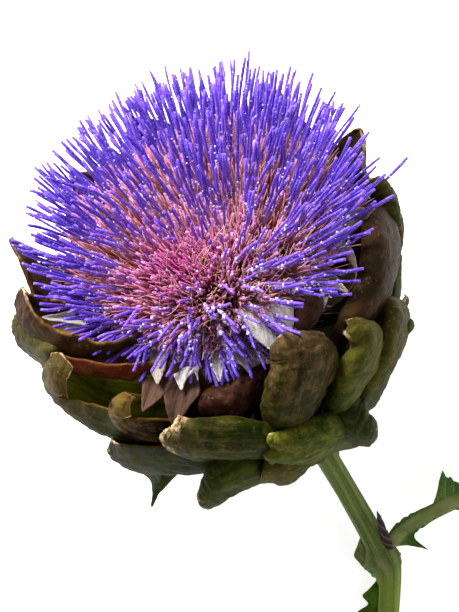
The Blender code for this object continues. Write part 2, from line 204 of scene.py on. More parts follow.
def manyTubes(paths, radii, sides, values):
    # closed tubes along many paths: paths are (count, steps, 3) and radii in mm are (count, steps)
    count, steps, _ = paths.shape
    steep = np.abs(unit(paths[:, 1:2] - paths[:, :1])[..., 2:]) > 0.9
    _, sideways, upwards = pathFrames(paths, np.where(steep, [1.0, 0, 0], [0, 0, 1.0]))
    turn = np.arange(sides) * 2 * np.pi / sides
    ring = turned(turn, sideways[:, :, None], upwards[:, :, None])
    walls = paths[:, :, None] + radii[:, :, None, None] * mm * ring
    points = np.concatenate([paths[:, :1], walls.reshape(count, -1, 3), paths[:, -1:]], axis=1)
    faces = tubeFaces(steps, sides)
    faces = faces + (faces >= 0) * np.arange(count)[:, None, None] * (steps * sides + 2)
    attributes = {}
    for key, value in values.items():
        value = np.broadcast_to(value, (count, steps))
        spread = np.repeat(value, sides, axis=1)
        attributes[key] = np.concatenate([value[:, :1], spread, value[:, -1:]], axis=1)
    return points.reshape(-1, 3), faces.reshape(-1, 4), attributes


def manyBeads(centres, radii):
    # small rough grains, an octahedron with each corner pushed in or out
    corners = np.concatenate([np.eye(3), -np.eye(3)])[[0, 3, 1, 4, 2, 5]]
    triangles = [[0, 2, 4], [2, 1, 4], [1, 3, 4], [3, 0, 4], [2, 0, 5], [1, 2, 5], [3, 1, 5], [0, 3, 5]]
    reach = corners * radii[:, None, None]
    points = centres[:, None] + reach
    points += latticeNoise(points, 0.3 * mm, 5)[..., None] * reach * 0.35
    faces = np.pad(np.array(triangles), ((0, 0), (0, 1)), constant_values=-1)
    faces = faces + (faces >= 0) * np.arange(len(centres))[:, None, None] * 6
    return points.reshape(-1, 3), faces.reshape(-1, 4)


def makeTube(name, rings, ends, values):
    # a closed tube from rings of points and a pole at each end, kept above the floor, faces outwards
    points = np.concatenate([ends[0][None], rings.reshape(-1, 3), ends[1][None]])
    points[:, 2] = np.maximum(points[:, 2], 0)
    for key, value in values.items():
        values[key] = np.concatenate([[value[0, 0]], value.ravel(), [value[-1, 0]]])
    piece = makeMesh(name, points, tubeFaces(*rings.shape[:2]), values)
    mesh = bmesh.new()
    mesh.from_mesh(piece.data)
    bmesh.ops.recalc_face_normals(mesh, faces=mesh.faces)
    mesh.to_mesh(piece.data)
    mesh.free()
    return piece


def finishPiece(piece, material, slot, *nodes):
    piece.data.materials.append(material)
    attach(piece, "root")
    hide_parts(*nodes)
    return piece


class Wire:
    # a shader socket that sums and products can be written with
    def __init__(self, tree, socket):
        self.tree = tree
        self.socket = socket

    def math(self, operation, first, second):
        node = self.tree.nodes.new("ShaderNodeMath")
        node.operation = operation
        plug(self.tree, node.inputs[0], first)
        plug(self.tree, node.inputs[1], second)
        return Wire(self.tree, node.outputs[0])

    def __add__(self, other):
        return self.math("ADD", self, other)

    def __mul__(self, other):
        return self.math("MULTIPLY", self, other)

    def __sub__(self, other):
        return self.math("SUBTRACT", self, other)

    def __rsub__(self, other):
        return self.math("SUBTRACT", other, self)

    __radd__ = __add__
    __rmul__ = __mul__


def plug(tree, socket, value):
    if isinstance(value, Wire):
        tree.links.new(value.socket, socket)
    else:
        socket.default_value = value


class Finish:
    # one material: its shader's own sockets take the uniform numbers, and wires feed what
    # varies. Its colour is painted coat over coat; colours are screen colours from 0 to
    # 255, in the material's own tint
    def __init__(self, name, gloss, tint=(1.0, 1.0, 1.0), **uniform):
        self.material = bpy.data.materials.new(name)
        self.material.use_nodes = True
        self.tree = self.material.node_tree
        self.shader = self.tree.nodes["Principled BSDF"]
        self.tint = np.array([*tint, 1.0])
        for key, value in {"Specular_IOR_Level": gloss, **uniform}.items():
            self.shader.inputs[key.replace("_", " ")].default_value = value
        self.place = self.make("ShaderNodeTexCoord")["Object"]

    def make(self, kind, settings=None, sockets=None):
        # a node of any kind: its settings first, then the values or wires of its sockets
        node = self.tree.nodes.new(kind)
        for key, value in (settings or {}).items():
            setattr(node, key, value)
        for key, value in (sockets or {}).items():
            plug(self.tree, node.inputs[key], value)
        return {out.name: Wire(self.tree, out) for out in reversed(node.outputs)}

    def values(self, *names):
        return [self.make("ShaderNodeAttribute", {"attribute_name": name})["Fac"] for name in names]

    def vector(self, x, y, z):
        return self.make("ShaderNodeCombineXYZ", None, {"X": x, "Y": y, "Z": z})["Vector"]

    def noise(self, scale, detail=3.0, rough=0.55, at=None):
        sockets = {"Vector": at or self.place, "Scale": scale, "Detail": detail, "Roughness": rough}
        return self.make("ShaderNodeTexNoise", None, sockets)["Fac"]

    def step(self, low, high, value):
        # 0 below low and 1 above high, smooth between them
        sockets = {"Value": value, "From Min": low, "From Max": high}
        return self.make("ShaderNodeMapRange", {"interpolation_type": "SMOOTHSTEP"}, sockets)["Result"]

    def colour(self, *screen):
        return tuple(float(part) for part in np.array(rgb(*screen)) * self.tint)

    def mix(self, factor, *colours):
        node = self.tree.nodes.new("ShaderNodeMix")
        node.data_type = "RGBA"
        plug(self.tree, node.inputs[0], factor)
        for socket, colour in zip(node.inputs[6:8], colours):
            screen = isinstance(colour, tuple) and len(colour) == 3
            plug(self.tree, socket, self.colour(*colour) if screen else colour)
        return Wire(self.tree, node.outputs[2])

    def paint(self, factor, *colours):
        # the first coat blends two colours, and each later one lays its colour over what is there
        under = () if len(colours) == 2 else (self.base,)
        self.base = self.mix(factor, *under, *colours)

    def finish(self, roughness, height=None, depth=0.3, reach=0.3):
        # depth is the bump's strength, and reach its height in mm
        plug(self.tree, self.shader.inputs["Base Color"], self.base)
        plug(self.tree, self.shader.inputs["Roughness"], roughness)
        if height is not None:
            sockets = {"Strength": depth, "Distance": reach * mm, "Height": height}
            bump = self.make("ShaderNodeBump", None, sockets)["Normal"]
            plug(self.tree, self.shader.inputs["Normal"], bump)
        return self.material


# Bracts, each row in order from 1: (round, down) of the tip and of the root in degrees, distances of
# root, middle and tip from the centre in mm, half width, half thickness, how far the margins fall
# inwards, and how pointed the tip is. A bract lies over the ones before it.
bractRows = {
    "pale_": (
        ((-98, 64), (-84, 97), (27, 41, 58), 6.5, 0.8, 1, 1.0),
        ((-40, 69), (-40, 97), (28, 36, 52), 5.5, 0.8, 1, 1.0),
        ((-28, 70), (-26, 97), (28, 36, 52), 6.5, 0.8, 1, 1.0),
        ((-6, 72), (-6, 97), (29, 37, 52), 8.5, 0.9, 1, 1.0),
        ((13, 70), (13, 97), (30, 38, 53), 8.5, 0.9, 1, 1.0),
        ((45, 76), (38, 98), (32, 42, 56), 7, 0.9, 1, 1.0),
        ((76, 79), (64, 98), (34, 45, 60), 8, 0.9, 1, 1.0),
    ),
    "inner_bract_": (
        ((-39, 71), (-40, 112), (36, 43, 57), 6, 1.0, 1.5, 1.1),
        ((-31, 74), (-24, 110), (38, 45, 58), 6.5, 1.0, 1.5, 1.1),
        ((-20, 71), (10, 92), (44, 54, 60), 9, 1.3, 3, 1.3),
        ((30, 66), (16, 100), (44, 54, 59), 9, 1.4, 3, 1.3),
        ((-106, 60), (-84, 98), (38, 47, 62), 9, 1.0, 1.5, 1.2),
        ((112, 62), (104, 108), (40, 52, 62), 12, 1.2, 2, 1.2),
        ((152, 60), (150, 106), (40, 52, 62), 12, 1.2, 2, 1.2),
        ((-162, 60), (-158, 106), (40, 52, 62), 12, 1.2, 2, 1.2),
    ),
    "rim_bract_": (
        ((-130, 58), (-104, 98), (40, 52, 68), 14, 1.4, 2, 1.2),
        ((-108, 57), (-72, 86), (40, 49, 67), 9, 1.3, 2, 1.2),
        ((-72, 58), (-36, 80), (42.5, 51.5, 66), 7.5, 1.2, 2, 1.2),
        ((72, 71), (18, 92), (47, 61, 68), 14, 1.7, 4, 1.7),
        ((102, 72), (84, 120), (45, 60, 69), 18, 1.6, 3, 1.6),
        ((126, 64), (122, 112), (45, 59, 69), 17, 1.5, 2, 1.5),
        ((149, 69), (148, 118), (45, 59, 68), 18, 1.5, 2, 1.5),
        ((173, 67), (172, 118), (45, 59, 68), 18, 1.5, 2, 1.5),
        ((-163, 73), (-160, 124), (45, 59, 68), 18, 1.5, 2, 1.5),
    ),
    "middle_bract_": (
        ((-102, 64), (-62, 76), (45, 55, 67), 9, 1.3, 2, 1.6),
        ((-72, 65), (-28, 90), (40, 52, 65), 16, 1.5, 3, 1.9),
        ((-46, 64), (-14, 78), (44, 53, 62), 5.5, 1.4, 3, 1.7),
        ((12, 61.5), (1, 118), (50, 65, 67), 15, 2.2, 5, 1.9),
        ((80, 68), (44, 110), (50, 64, 69), 12, 1.9, 4, 1.7),
        ((31, 71), (10, 118), (50, 66, 69), 11, 2.2, 4, 1.9),
        ((44, 81), (16, 122), (50, 66, 68), 12, 2.2, 4, 1.9),
        ((122, 92), (116, 142), (50, 62, 67), 21, 1.8, 4, 1.8),
        ((156, 94), (156, 144), (50, 62, 67), 22, 1.8, 4, 1.8),
        ((-170, 93), (-168, 144), (50, 62, 66), 22, 1.8, 4, 1.8),
        ((-136, 86), (-124, 136), (48, 61, 67), 21, 1.8, 4, 1.8),
    ),
    "outer_bract_": (
        ((-52.5, 81), (-9, 87), (46, 58, 66), 8, 1.6, 3, 2.1),
        ((-30.5, 70), (10, 95), (53, 65, 70), 8.5, 1.9, 3, 2.3),
        ((46, 93), (18, 132), (53, 64, 68), 12, 1.8, 4, 1.8),
        ((-100, 108), (-52, 132), (44, 52, 56), 15, 1.8, 4, 1.8),
        ((94, 100), (46, 134), (52, 62, 66), 17, 1.9, 4, 1.8),
        ((-124, 116), (-66, 148), (48, 58, 62), 20, 1.8, 4, 1.8),
        ((120, 114), (64, 148), (52, 62, 66), 20, 1.8, 4, 1.8),
        ((178, 120), (178, 160), (50, 57, 60), 19, 1.8, 4, 1.8),
    ),
    "base_bract_": (
        ((-31, 102), (6, 106), (52, 62, 73), 10, 2.0, 3, 1.9),
        ((-15, 93), (0, 128), (53, 64, 66), 9, 1.9, 3, 1.9),
        ((22, 118), (-7, 97), (58, 67, 72), 9, 1.9, 3, 1.9),
        ((-70, 124), (-32, 141), (43, 49, 51), 12, 1.6, 3, 1.8),
        ((80, 124), (30, 142), (52, 58, 61), 13, 1.7, 4, 1.9),
        ((-9, 83), (22, 101), (60, 69, 70), 8, 1.9, 3, 2.3),
    ),
    "foot_bract_": (
        ((-146, 138), (-34, 157), (57, 65, 74), 17, 2.4, 3, 2.0),
        ((146, 138), (34, 157), (57, 65, 74), 17, 2.4, 3, 2.0),
    ),
}

# Bracts that the camera sees are shaped on a net of places instead, chosen over the photograph: rows
# from root to tip, and in each row three numbers for every place across: its pixel across and down the
# picture, and its distance from the head's centre in mm. Places go across so that, seen from outside, they
# run clockwise of the way to the tip.
bractNets = {
    "pale_1": (
        (125, 312, 36, 125, 320, 35, 125, 328, 38), (100, 310, 42, 100, 318, 41, 100, 327, 44),
        (75, 310, 49, 75, 317, 48, 75, 324, 51), (55, 314, 56, 55, 318, 55.5, 55, 321, 57),
        (42, 317, 61, 42, 317.5, 61, 42, 318, 61),
    ),
    "pale_2": (
        (152, 336, 28, 160, 336, 27, 170, 336, 28), (150, 350, 37, 158, 350, 36, 168, 350, 37),
        (149, 362, 43, 158, 362, 42, 167, 360, 43), (152, 374, 48.5, 158, 374, 48, 163, 372, 48.5),
        (157, 385, 53, 157.5, 385.5, 53, 158, 385, 53),
    ),
    "pale_3": (
        (172, 332, 26, 178, 332, 25.5, 186, 332, 25, 194, 332, 25.5, 202, 332, 26),
        (170, 348, 35, 177, 348, 34.5, 185, 348, 34, 193, 348, 34.5, 201, 348, 35),
        (171, 362, 41, 177, 363, 40.5, 185, 363, 40, 193, 362, 40.5, 200, 362, 41),
        (174, 375, 46, 179, 378, 46, 186, 373, 46, 193, 370, 46, 198, 372, 47),
        (178, 382, 49, 181.5, 390, 51, 187, 378, 49, 194, 372, 49, 198, 381, 50),
    ),
    "pale_4": (
        (206, 330, 25, 216, 330, 24.5, 226, 329, 24, 235, 328, 24.5, 244, 326, 25),
        (207, 345, 33, 217, 345, 32.5, 227, 343, 32, 236, 342, 32.5, 245, 340, 33),
        (210, 358, 39, 218, 359, 38.5, 227, 352, 38, 237, 353, 38.5, 246, 353, 39),
        (213, 368, 44, 219, 372, 43.5, 227, 357, 41, 239, 361, 42.5, 248, 363, 43.5),
        (217, 375, 48, 220, 382, 49, 226, 361, 43, 241, 364, 45, 248.5, 374, 48),
    ),
    "pale_5": (
        (240, 298, 28, 262, 296, 29, 288, 288, 30), (238, 308, 40, 262, 305, 41, 292, 298, 42),
        (242, 320, 45, 265, 318, 46, 294, 312, 46), (248, 332, 47, 268, 333, 48, 293, 326, 47),
        (257, 341, 49, 272, 346, 50, 287, 338, 49), (268, 346, 50, 276, 351, 51, 282, 345, 50),
    ),
    "pale_6": (
        (306, 280, 34, 308, 271, 35, 310, 262, 37), (318, 283, 41, 320, 274, 40, 322, 266, 42),
        (331, 288, 48, 333, 281, 47, 334, 275, 49), (340, 291, 53.5, 341, 287, 53, 341, 284, 54),
        (347.5, 293, 57, 348, 292.5, 57, 348, 292, 57),
    ),
    "pale_7": (
        (335, 243, 46, 332, 235, 47, 330, 226, 49), (348, 236, 51, 345, 228, 52, 343, 218, 54),
        (362, 225, 57, 358, 217, 56.5, 355, 209, 58), (374, 209, 64, 374.5, 208, 64, 375, 207, 64),
    ),
    "inner_bract_1": (
        (146, 362, 44, 160, 362, 42, 176, 362, 44), (143, 378, 50, 157, 378, 47, 174, 380, 50),
        (141.5, 392, 55, 152, 392, 52.5, 166, 392, 55), (141.5, 403, 58.5, 147, 403, 57, 155, 403, 58.5),
        (142, 412.5, 61, 142.5, 413, 61, 143, 412.5, 61),
    ),
    "inner_bract_2": (
        (176, 366, 46, 187, 366, 44, 198, 368, 46), (168, 382, 51, 181, 382, 48, 199, 384, 51),
        (164, 393, 55, 180, 394, 52, 199.5, 394, 55), (166, 409, 59, 177, 409, 57, 188, 409, 59),
        (172, 426, 62, 172.5, 426.5, 62, 173, 426, 62),
    ),
    "inner_bract_3": (
        (262, 400, 52, 264, 382, 54, 266, 364, 50), (247, 408, 57, 247, 390, 60, 250, 370, 54),
        (229, 417, 60, 228, 400, 63.5, 232, 382, 56), (210, 418, 61.5, 210, 404, 64.5, 215, 386, 57.5),
        (200, 414, 62, 201, 404, 63.5, 206, 390, 58.5), (198, 409, 61.5, 199, 403, 62, 203, 394, 59.5),
    ),
    "inner_bract_4": (
        (285, 345, 48, 295, 345, 51, 305, 338, 50), (288, 330, 52, 300, 330, 57, 313, 325, 55),
        (294, 314, 54, 308, 311, 60, 321, 310, 56), (300, 299, 56, 312, 296, 61, 322, 298, 57),
        (306, 289, 56, 313, 285, 58.5, 320, 288, 56), (309, 284, 55.5, 313, 282, 56, 317, 284, 55.5),
    ),
    "rim_bract_2": (
        (135, 318, 44, 135, 330, 42, 135, 345, 48, 135, 341, 54),
        (110, 312, 50, 110, 326, 46, 108, 350, 54, 110, 342, 60),
        (85, 307, 55, 85, 322, 50, 82, 352, 59, 85, 340, 64),
        (60, 302, 59, 60, 317, 55, 58, 350, 63, 61, 330, 67),
        (45, 299, 62, 44, 312, 60, 37, 337, 66, 43, 322, 69),
        (35, 296, 65, 32, 305, 64, 24, 324, 68, 33, 310, 70),
        (27, 291, 67, 24, 297, 67, 17, 306, 69, 28, 297, 70.5),
        (23, 287, 68, 22, 286, 69, 20, 288, 70, 24, 287, 70),
    ),
    "rim_bract_3": (
        (160, 345, 46, 160, 357, 44, 158, 376, 50, 158, 368, 54),
        (130, 341, 50, 130, 354, 47, 130, 377, 54, 130, 366, 59),
        (100, 341, 54, 100, 353, 51, 99, 374, 58, 101, 363, 63),
        (78, 344, 58, 78, 354, 55, 75, 370, 62, 78, 359, 66),
        (66, 347, 62, 64, 353, 62, 60, 363, 65, 63, 354, 68),
        (54, 350, 65, 52, 352, 66, 50, 356, 67, 52, 352, 68),
    ),
    "rim_bract_4": (
        (316, 412, 50, 328, 412, 52, 338, 404, 52), (322, 380, 54, 332, 378, 56, 343, 370, 55),
        (330, 345, 56, 338, 345, 58, 346, 335, 57), (338, 324, 60, 350, 325, 65, 366, 322, 62),
        (349, 300, 63, 365, 303, 69, 384, 300, 65), (358, 279, 65, 375, 280, 71, 393, 280, 66),
        (360, 259, 66, 379, 256, 72, 398, 256, 67), (361, 242, 66, 379, 233, 71.5, 397, 237, 67),
        (361, 225, 65, 376, 214, 68.5, 390, 219, 67), (362, 216, 63, 370, 209, 65.5, 381, 207, 66.5),
        (362, 212, 61, 366, 209, 62.5, 372, 206, 64),
    ),
    "middle_bract_1": (
        (70, 385, 48, 75, 368, 50, 80, 350, 50), (45, 368, 63, 55, 357, 65, 65, 342, 62),
        (27, 354, 65.5, 38, 346, 67, 50, 332, 64), (16, 340, 68.5, 25, 333, 68, 36, 320, 65),
        (13, 325, 69, 17, 322, 69, 26, 312, 66), (15, 314, 68, 17, 312, 68.5, 20, 309, 67.5),
    ),
    "middle_bract_2": (
        (165, 375, 52, 165, 392, 50, 160, 415, 52, 150, 440, 60, 150, 425, 64),
        (135, 374, 55, 135, 390, 52, 132, 410, 54, 126, 438, 63, 128, 418, 66.5),
        (110, 372, 57, 110, 386, 53, 108, 404, 55, 104, 431, 64.5, 105, 409, 67.5),
        (88, 368, 59, 88, 382, 55, 86, 396, 58, 82, 419, 66, 87, 403, 68.5),
        (72, 362, 62, 70, 376, 60, 64, 390, 63, 62, 403, 67.5, 70, 399, 69.5),
        (60, 356, 65, 50, 366, 66, 46, 378, 67, 52, 393, 68.5, 62, 396, 70),
        (62, 353, 68, 56, 364, 70.5, 54, 378, 71.5, 58, 390, 71.5, 64, 394, 71.5),
        (73, 368, 68, 71, 374, 70, 67, 382, 71, 67, 391, 71, 68, 399, 71),
    ),
    "middle_bract_3": (
        (185, 400, 56, 185, 412, 54, 180, 430, 60, 183, 422, 63),
        (168, 398, 58, 168, 410, 56, 166, 438, 65, 167, 420, 67),
        (150, 396, 60, 149, 409, 58, 145, 438, 66, 150, 418, 68.5),
        (138, 394, 63, 133, 407, 62, 127, 431, 67.5, 134, 418, 70),
        (125, 393, 67, 115, 403, 67, 113, 416, 69, 122, 420, 71.5),
        (128, 394, 70, 121, 402, 72, 119, 412, 73, 126, 418, 73),
        (136, 397, 69.5, 132, 403, 71.5, 131, 410, 72.5, 131, 416, 72.5),
    ),
    "middle_bract_4": (
        (272, 428, 58, 280, 431, 60, 288, 432, 61, 300, 430, 61, 312, 427, 60),
        (264, 411, 62, 273, 416, 66.5, 285, 418, 69, 300, 415, 67.5, 316, 409, 62),
        (263, 401, 63.5, 272, 402, 69, 286, 402, 72, 303, 399, 70, 323, 396, 63),
        (267, 388, 64.5, 276, 387, 70.5, 292, 385, 73, 311, 383, 71, 330, 381, 64.5),
        (272.5, 374, 65.5, 281, 372, 71.5, 297, 370, 73, 317, 368, 71.5, 335.5, 367, 66),
        (272, 362, 67, 282, 361, 71.5, 298, 360, 73.2, 318, 357, 71.8, 336.5, 354, 66),
        (270.5, 352.5, 68.5, 281, 351.5, 72, 298, 351, 73.2, 316, 347, 71.5, 333, 345, 65.5),
        (277, 349, 67.5, 284, 344, 71.5, 298, 341.5, 72, 312, 340, 70, 327, 339, 64.5),
        (281, 342, 65.5, 286, 338.5, 68, 298, 337, 69.5, 310, 336.5, 67.5, 322, 337, 63),
        (290, 345, 62, 294, 344, 63, 299, 344, 63.5, 306, 344, 62.5, 313, 344, 61),
    ),
    "middle_bract_5": (
        (384, 262, 56, 394, 262, 62, 399, 258, 64), (380, 240, 57, 394, 238, 65, 398.5, 236, 67.5),
        (376, 222, 59, 391, 217, 68, 398, 217, 69.5), (369, 206, 61, 387, 201, 70, 395, 200, 71),
        (367, 198, 63, 383, 190, 71.5, 391, 190, 72), (366, 192, 65, 378, 184, 72, 383, 181, 72.5),
        (366, 189, 66, 372, 183, 70, 372, 180.5, 70), (366, 187, 66, 367, 185, 66.5, 366, 185, 67),
    ),
    "middle_bract_6": (
        (320, 422, 60, 338, 426, 62, 352, 417, 60), (322, 406, 62, 343, 403, 69, 356, 398, 64),
        (333, 386, 65, 348, 384, 71.5, 366, 383, 65.5), (337, 368, 66.5, 357, 364, 73, 381, 363, 66),
        (347, 355, 68.5, 366, 346, 74, 383, 345, 66), (350, 344, 70.5, 368, 333, 74.5, 379, 328, 67.5),
        (345, 336, 71.5, 356, 328, 73.5, 361, 319, 69.5), (343, 334, 71, 347, 327, 71, 345, 320, 69),
    ),
    "middle_bract_7": (
        (345, 405, 60, 358, 408, 62, 370, 402, 60), (352, 390, 62, 366, 393, 66, 379, 391, 65),
        (364, 374, 63, 377, 374, 68, 390, 369, 66), (376, 352, 65, 388, 353, 70, 400, 350, 67),
        (380, 332, 66, 392, 330, 71, 406, 334, 68), (382, 318, 66, 394, 313, 71, 408, 318, 68.5),
        (381, 307, 65.5, 390, 302, 68.5, 402, 304, 67.5), (379, 303, 63, 384, 301, 64.5, 392, 300, 65),
    ),
    "outer_bract_1": (
        (225, 440, 60, 225, 455, 60, 225, 467, 64, 225, 452, 68),
        (190, 437, 58, 190, 455, 58, 190, 470, 65, 190, 456, 68.5),
        (160, 432, 58, 160, 450, 58, 160, 471, 66.5, 160, 446, 70),
        (135, 430, 60, 135, 448, 60, 136, 468, 66.5, 133, 446, 70.5),
        (119, 432, 63, 120, 445, 61, 117, 460, 67, 119, 442, 71),
        (112, 435, 66, 112, 440, 66, 107, 450, 68, 110, 440, 70),
    ),
    "outer_bract_2": (
        (285, 462, 64, 285, 452, 66, 285, 445, 67, 288, 435, 66.5, 294, 424, 64),
        (262, 459, 67, 262, 449, 70, 262, 440, 70.5, 263, 431, 69.5, 264, 423, 67),
        (235, 461, 67, 235, 450, 71, 235, 440, 71.5, 236, 428, 70.5, 237, 416, 67),
        (206, 460, 67, 207, 450, 71.2, 207, 440, 71.5, 208, 428, 71, 210, 418, 67.5),
        (190, 457, 67, 190, 448, 71.5, 190, 438, 72, 190, 428, 71.5, 193, 418, 68),
        (177, 453, 67.5, 177, 446, 71.5, 177, 438, 72, 180, 428, 71.8, 185, 417, 68.5),
        (168, 447, 68, 168, 442, 71, 169, 436, 72, 176, 427, 71.8, 181, 415.5, 69.5),
        (162, 440, 68.5, 160, 435, 70.5, 165, 430.5, 71, 174.5, 424, 71, 180, 415, 70),
    ),
    "outer_bract_3": (
        (368, 400, 58, 374, 396, 62, 380, 391, 65), (378, 372, 60, 385, 370, 64, 391, 368, 66),
        (388, 352, 62, 394, 350, 66, 400.5, 350, 67.5), (395, 335, 64, 401, 333, 68, 406, 334, 69),
        (402, 324, 66, 407, 323, 69.5, 412.5, 328, 70.5), (408, 318, 68, 411, 319, 69, 413.5, 321, 70),
    ),
    "base_bract_1": (
        (272, 480, 64, 275, 468, 64, 280, 455, 62), (255, 485, 69, 252, 470, 69.5, 252, 455, 66),
        (240, 491, 70, 233, 476, 71, 228, 456, 67), (226, 499, 71.5, 219, 483, 72, 208, 464, 67),
        (216, 505, 73, 209, 493, 73, 203.5, 479, 68.5),
        (208, 507.5, 73.5, 203, 500, 73.5, 199.5, 491, 71),
        (203, 505, 72.5, 203, 501, 72, 198.5, 496, 71),
    ),
    "base_bract_2": (
        (318, 458, 62, 325, 450, 64, 332, 440, 62), (306, 466, 66, 306, 458, 69, 303, 445, 66),
        (289, 483, 69.5, 288, 467, 71, 286, 450, 67), (272, 482, 69.5, 271, 470, 72, 272, 452, 68),
        (257.5, 483, 69, 262, 472, 71, 267, 459, 68.5),
    ),
    "base_bract_3": (
        (330, 400, 62, 328, 410, 63, 325, 420, 64, 322, 430, 63, 320, 440, 62),
        (348, 397, 66, 345, 409, 68.5, 342, 420, 69, 340, 432, 68.5, 338, 446, 66),
        (363, 399, 67, 360, 409, 70.5, 356, 421, 71.5, 353, 433, 71, 350, 446, 68),
        (364, 408, 69, 364, 416, 71.5, 363, 425, 73, 362, 435, 72.8, 360, 445, 70),
        (369, 417, 70, 370, 421, 72.5, 370, 428, 74, 370, 436, 74, 367, 445, 71.5),
        (373, 421.5, 71, 376, 426, 72, 377, 431, 73, 376.5, 437, 73, 372, 442, 72),
    ),
    "base_bract_6": (
        (358, 445, 64, 358, 438, 65, 358, 430, 65, 357, 422, 64, 356, 415, 62),
        (340, 448, 66, 339, 440, 69, 338, 430, 70, 336, 421, 68.5, 335, 412, 65),
        (320, 458, 67, 317, 449, 71.5, 314, 438, 72.5, 313, 428, 71, 313, 418, 67),
        (300, 466, 67, 298, 457, 72, 296, 446, 73.2, 296, 435, 72.5, 297, 425, 68.5),
        (284, 463, 68.5, 282, 456, 73, 281, 447.5, 72.2, 281, 440, 73.5, 282, 431, 69.5),
        (272, 462, 69, 270, 456, 73, 274, 447, 71.3, 272, 440, 73.4, 273, 432.5, 70),
        (266, 459, 69.3, 264.5, 453.5, 71.5, 272, 446.5, 70.3, 268.5, 439.5, 72, 270, 434, 70.3),
    ),
    "head_leaf": (
        (184, 462, 58.5, 165, 462, 58.5, 146, 462, 58.5), (181, 470, 62, 163, 472, 62.3, 142, 472, 62.5),
        (171, 480, 65, 160, 481, 65.6, 149.5, 480, 65.5),
        (163.5, 489, 68, 157, 490, 68.7, 150.5, 489, 68.7), (157, 499, 71.5, 154, 499, 72, 151, 499, 72),
        (151.5, 509, 76, 151, 509, 76, 150.5, 509, 76),
    ),
    "stem_leaf_1": (
        (366, 533, -26, 363, 534, -26.5, 360.5, 536, -27),
        (372, 544, -26, 365, 545, -27, 357, 546, -28.5), (376, 555, -27, 365, 556, -28, 354, 555, -30),
        (379, 563, -28, 370, 563, -29, 359, 562, -31), (381, 570, -29, 374, 571, -30, 365, 570, -32),
        (378, 579, -31, 377, 579, -31, 376, 579, -31),
    ),
    "stem_leaf_2": (
        (386, 574, -29, 381, 576, -28.5, 377, 580, -29),
        (386, 588, -29.5, 378, 589, -29.5, 369, 589, -31),
        (386, 598, -30.5, 376, 598, -30.5, 362, 596, -33),
        (386, 606, -31, 377, 606, -31.5, 368, 604, -33), (385, 618, -31.5, 374, 618, -32, 357, 613, -34),
        (383, 632, -32, 372, 632, -33, 357, 627, -34.5), (378, 645, -33, 368, 646, -33.5, 358, 641, -34),
        (367, 655, -34, 366, 655, -34, 365, 655, -34),
    ),
}
# How much further out than that whole nets lie, in mm, and the nets whose third number is instead how far
# towards the camera a place is
netLift = {
    "pale_1": 7, "pale_2": 9, "pale_3": 10, "pale_4": 10, "pale_5": 10, "inner_bract_1": 6,
    "inner_bract_2": 6.5, "pale_6": 9, "pale_7": 9,
}
netsByDepth = ("stem_leaf_1", "stem_leaf_2")

# How the sheets are cut: rings along a bract, columns across one face, and the grid that it settles on;
# how far in mm one clears the next under it; and its outline: the root's share of the full width, where
# along it is widest, and where the root has rounded out
sheets = {
    "rings": 120,
    "columns": 36,
    "grid": (71, 41),
    "gap": 0.9,
    "rootWidth": 0.62,
    "widestAt": 0.55,
    "rootEnd": 0.12,
}

# Shape and looks of a bract, as far as its family, or the bract itself, doesn't change them. In mm: notch
# (depth, width) and its place across, raggedness and wave, dents, the widths of the horny margin (cream)
# and of the horny tip. Roll is (start along, degrees, radius in mm, skew in degrees). Colours are 0 to
# 255, and tone and tint darken and colour them all. The rest are shares.
# The share that scales the inner face's colour is painted light where it is above 1 and painted shade where
# it is below 1
plainBract = {
    "notch": (0.8, 1.5), "notchAt": 0, "ragged": 0.5, "roll": (), "plump": 4, "thick": 1.0, "wave": 0.6,
    "dents": 0.3, "tone": 0.42, "tint": (1.06, 1.0, 0.5), "flush": (100, 92, 56), "flushed": 0.4,
    "inner": (56, 70, 32), "within": 0.6, "veins": 0.5, "stain": 0.45, "scurfAndPaintedHighlight": 0.28, "blue": 0.0,
    "cream": 0.5, "horny": 1.0, "tip": 2.6, "tipFrom": 0.82,
}
# The outer and base families' low tones are partly their own dark green and partly painted shade on the
# head's lower side; the pales' high tone is partly painted light
familyLooks = {
    "pale": {
        "low": (206, 180, 176), "high": (250, 244, 238), "flush": (190, 150, 150), "flushed": 0.15,
        "inner": (240, 232, 226), "cream": 0.0, "tip": 0.0, "veins": 0.35, "wave": 0.5, "stain": 0.0,
        "tone": 1.3, "tint": (1.0, 1.0, 1.0), "ragged": 2.2, "plump": 2, "dents": 0.1, "scurfAndPaintedHighlight": 0.0,
    },
    "inner": {
        "low": (118, 84, 72), "high": (152, 120, 102), "flush": (96, 48, 40), "flushed": 0.6,
        "inner": (134, 104, 90), "cream": 0.0, "tip": 0.0, "veins": 1.0, "tone": 0.5,
        "tint": (1.0, 0.92, 0.85), "plump": 2, "dents": 0.25, "scurfAndPaintedHighlight": 0.2, "stain": 0.5,
    },
    "rim": {
        "low": (66, 60, 36), "high": (92, 74, 48), "flush": (72, 42, 34), "flushed": 0.9, "stain": 0.5,
        "inner": (74, 56, 38), "tip": 1.6, "veins": 0.6, "wave": 0.9, "tint": (1.1, 0.92, 0.7),
    },
    "middle": {
        "low": (58, 70, 26), "high": (88, 92, 42), "flush": (92, 72, 52), "flushed": 0.7,
        "inner": (50, 62, 28), "tip": 2.2, "wave": 0.8, "blue": 0.1,
    },
    "outer": {
        "low": (54, 70, 26), "high": (80, 92, 42), "flush": (98, 88, 60), "flushed": 0.5, "veins": 0.7,
        "wave": 0.7, "tone": 0.28, "tint": (1.03, 1.04, 0.34),
    },
    "base": {
        "low": (54, 72, 28), "high": (82, 98, 46), "veins": 0.7, "tone": 0.34, "tint": (1.03, 1.04, 0.34),
    },
    "foot": {"low": (60, 78, 40), "high": (84, 98, 54), "blue": 0.2},
}
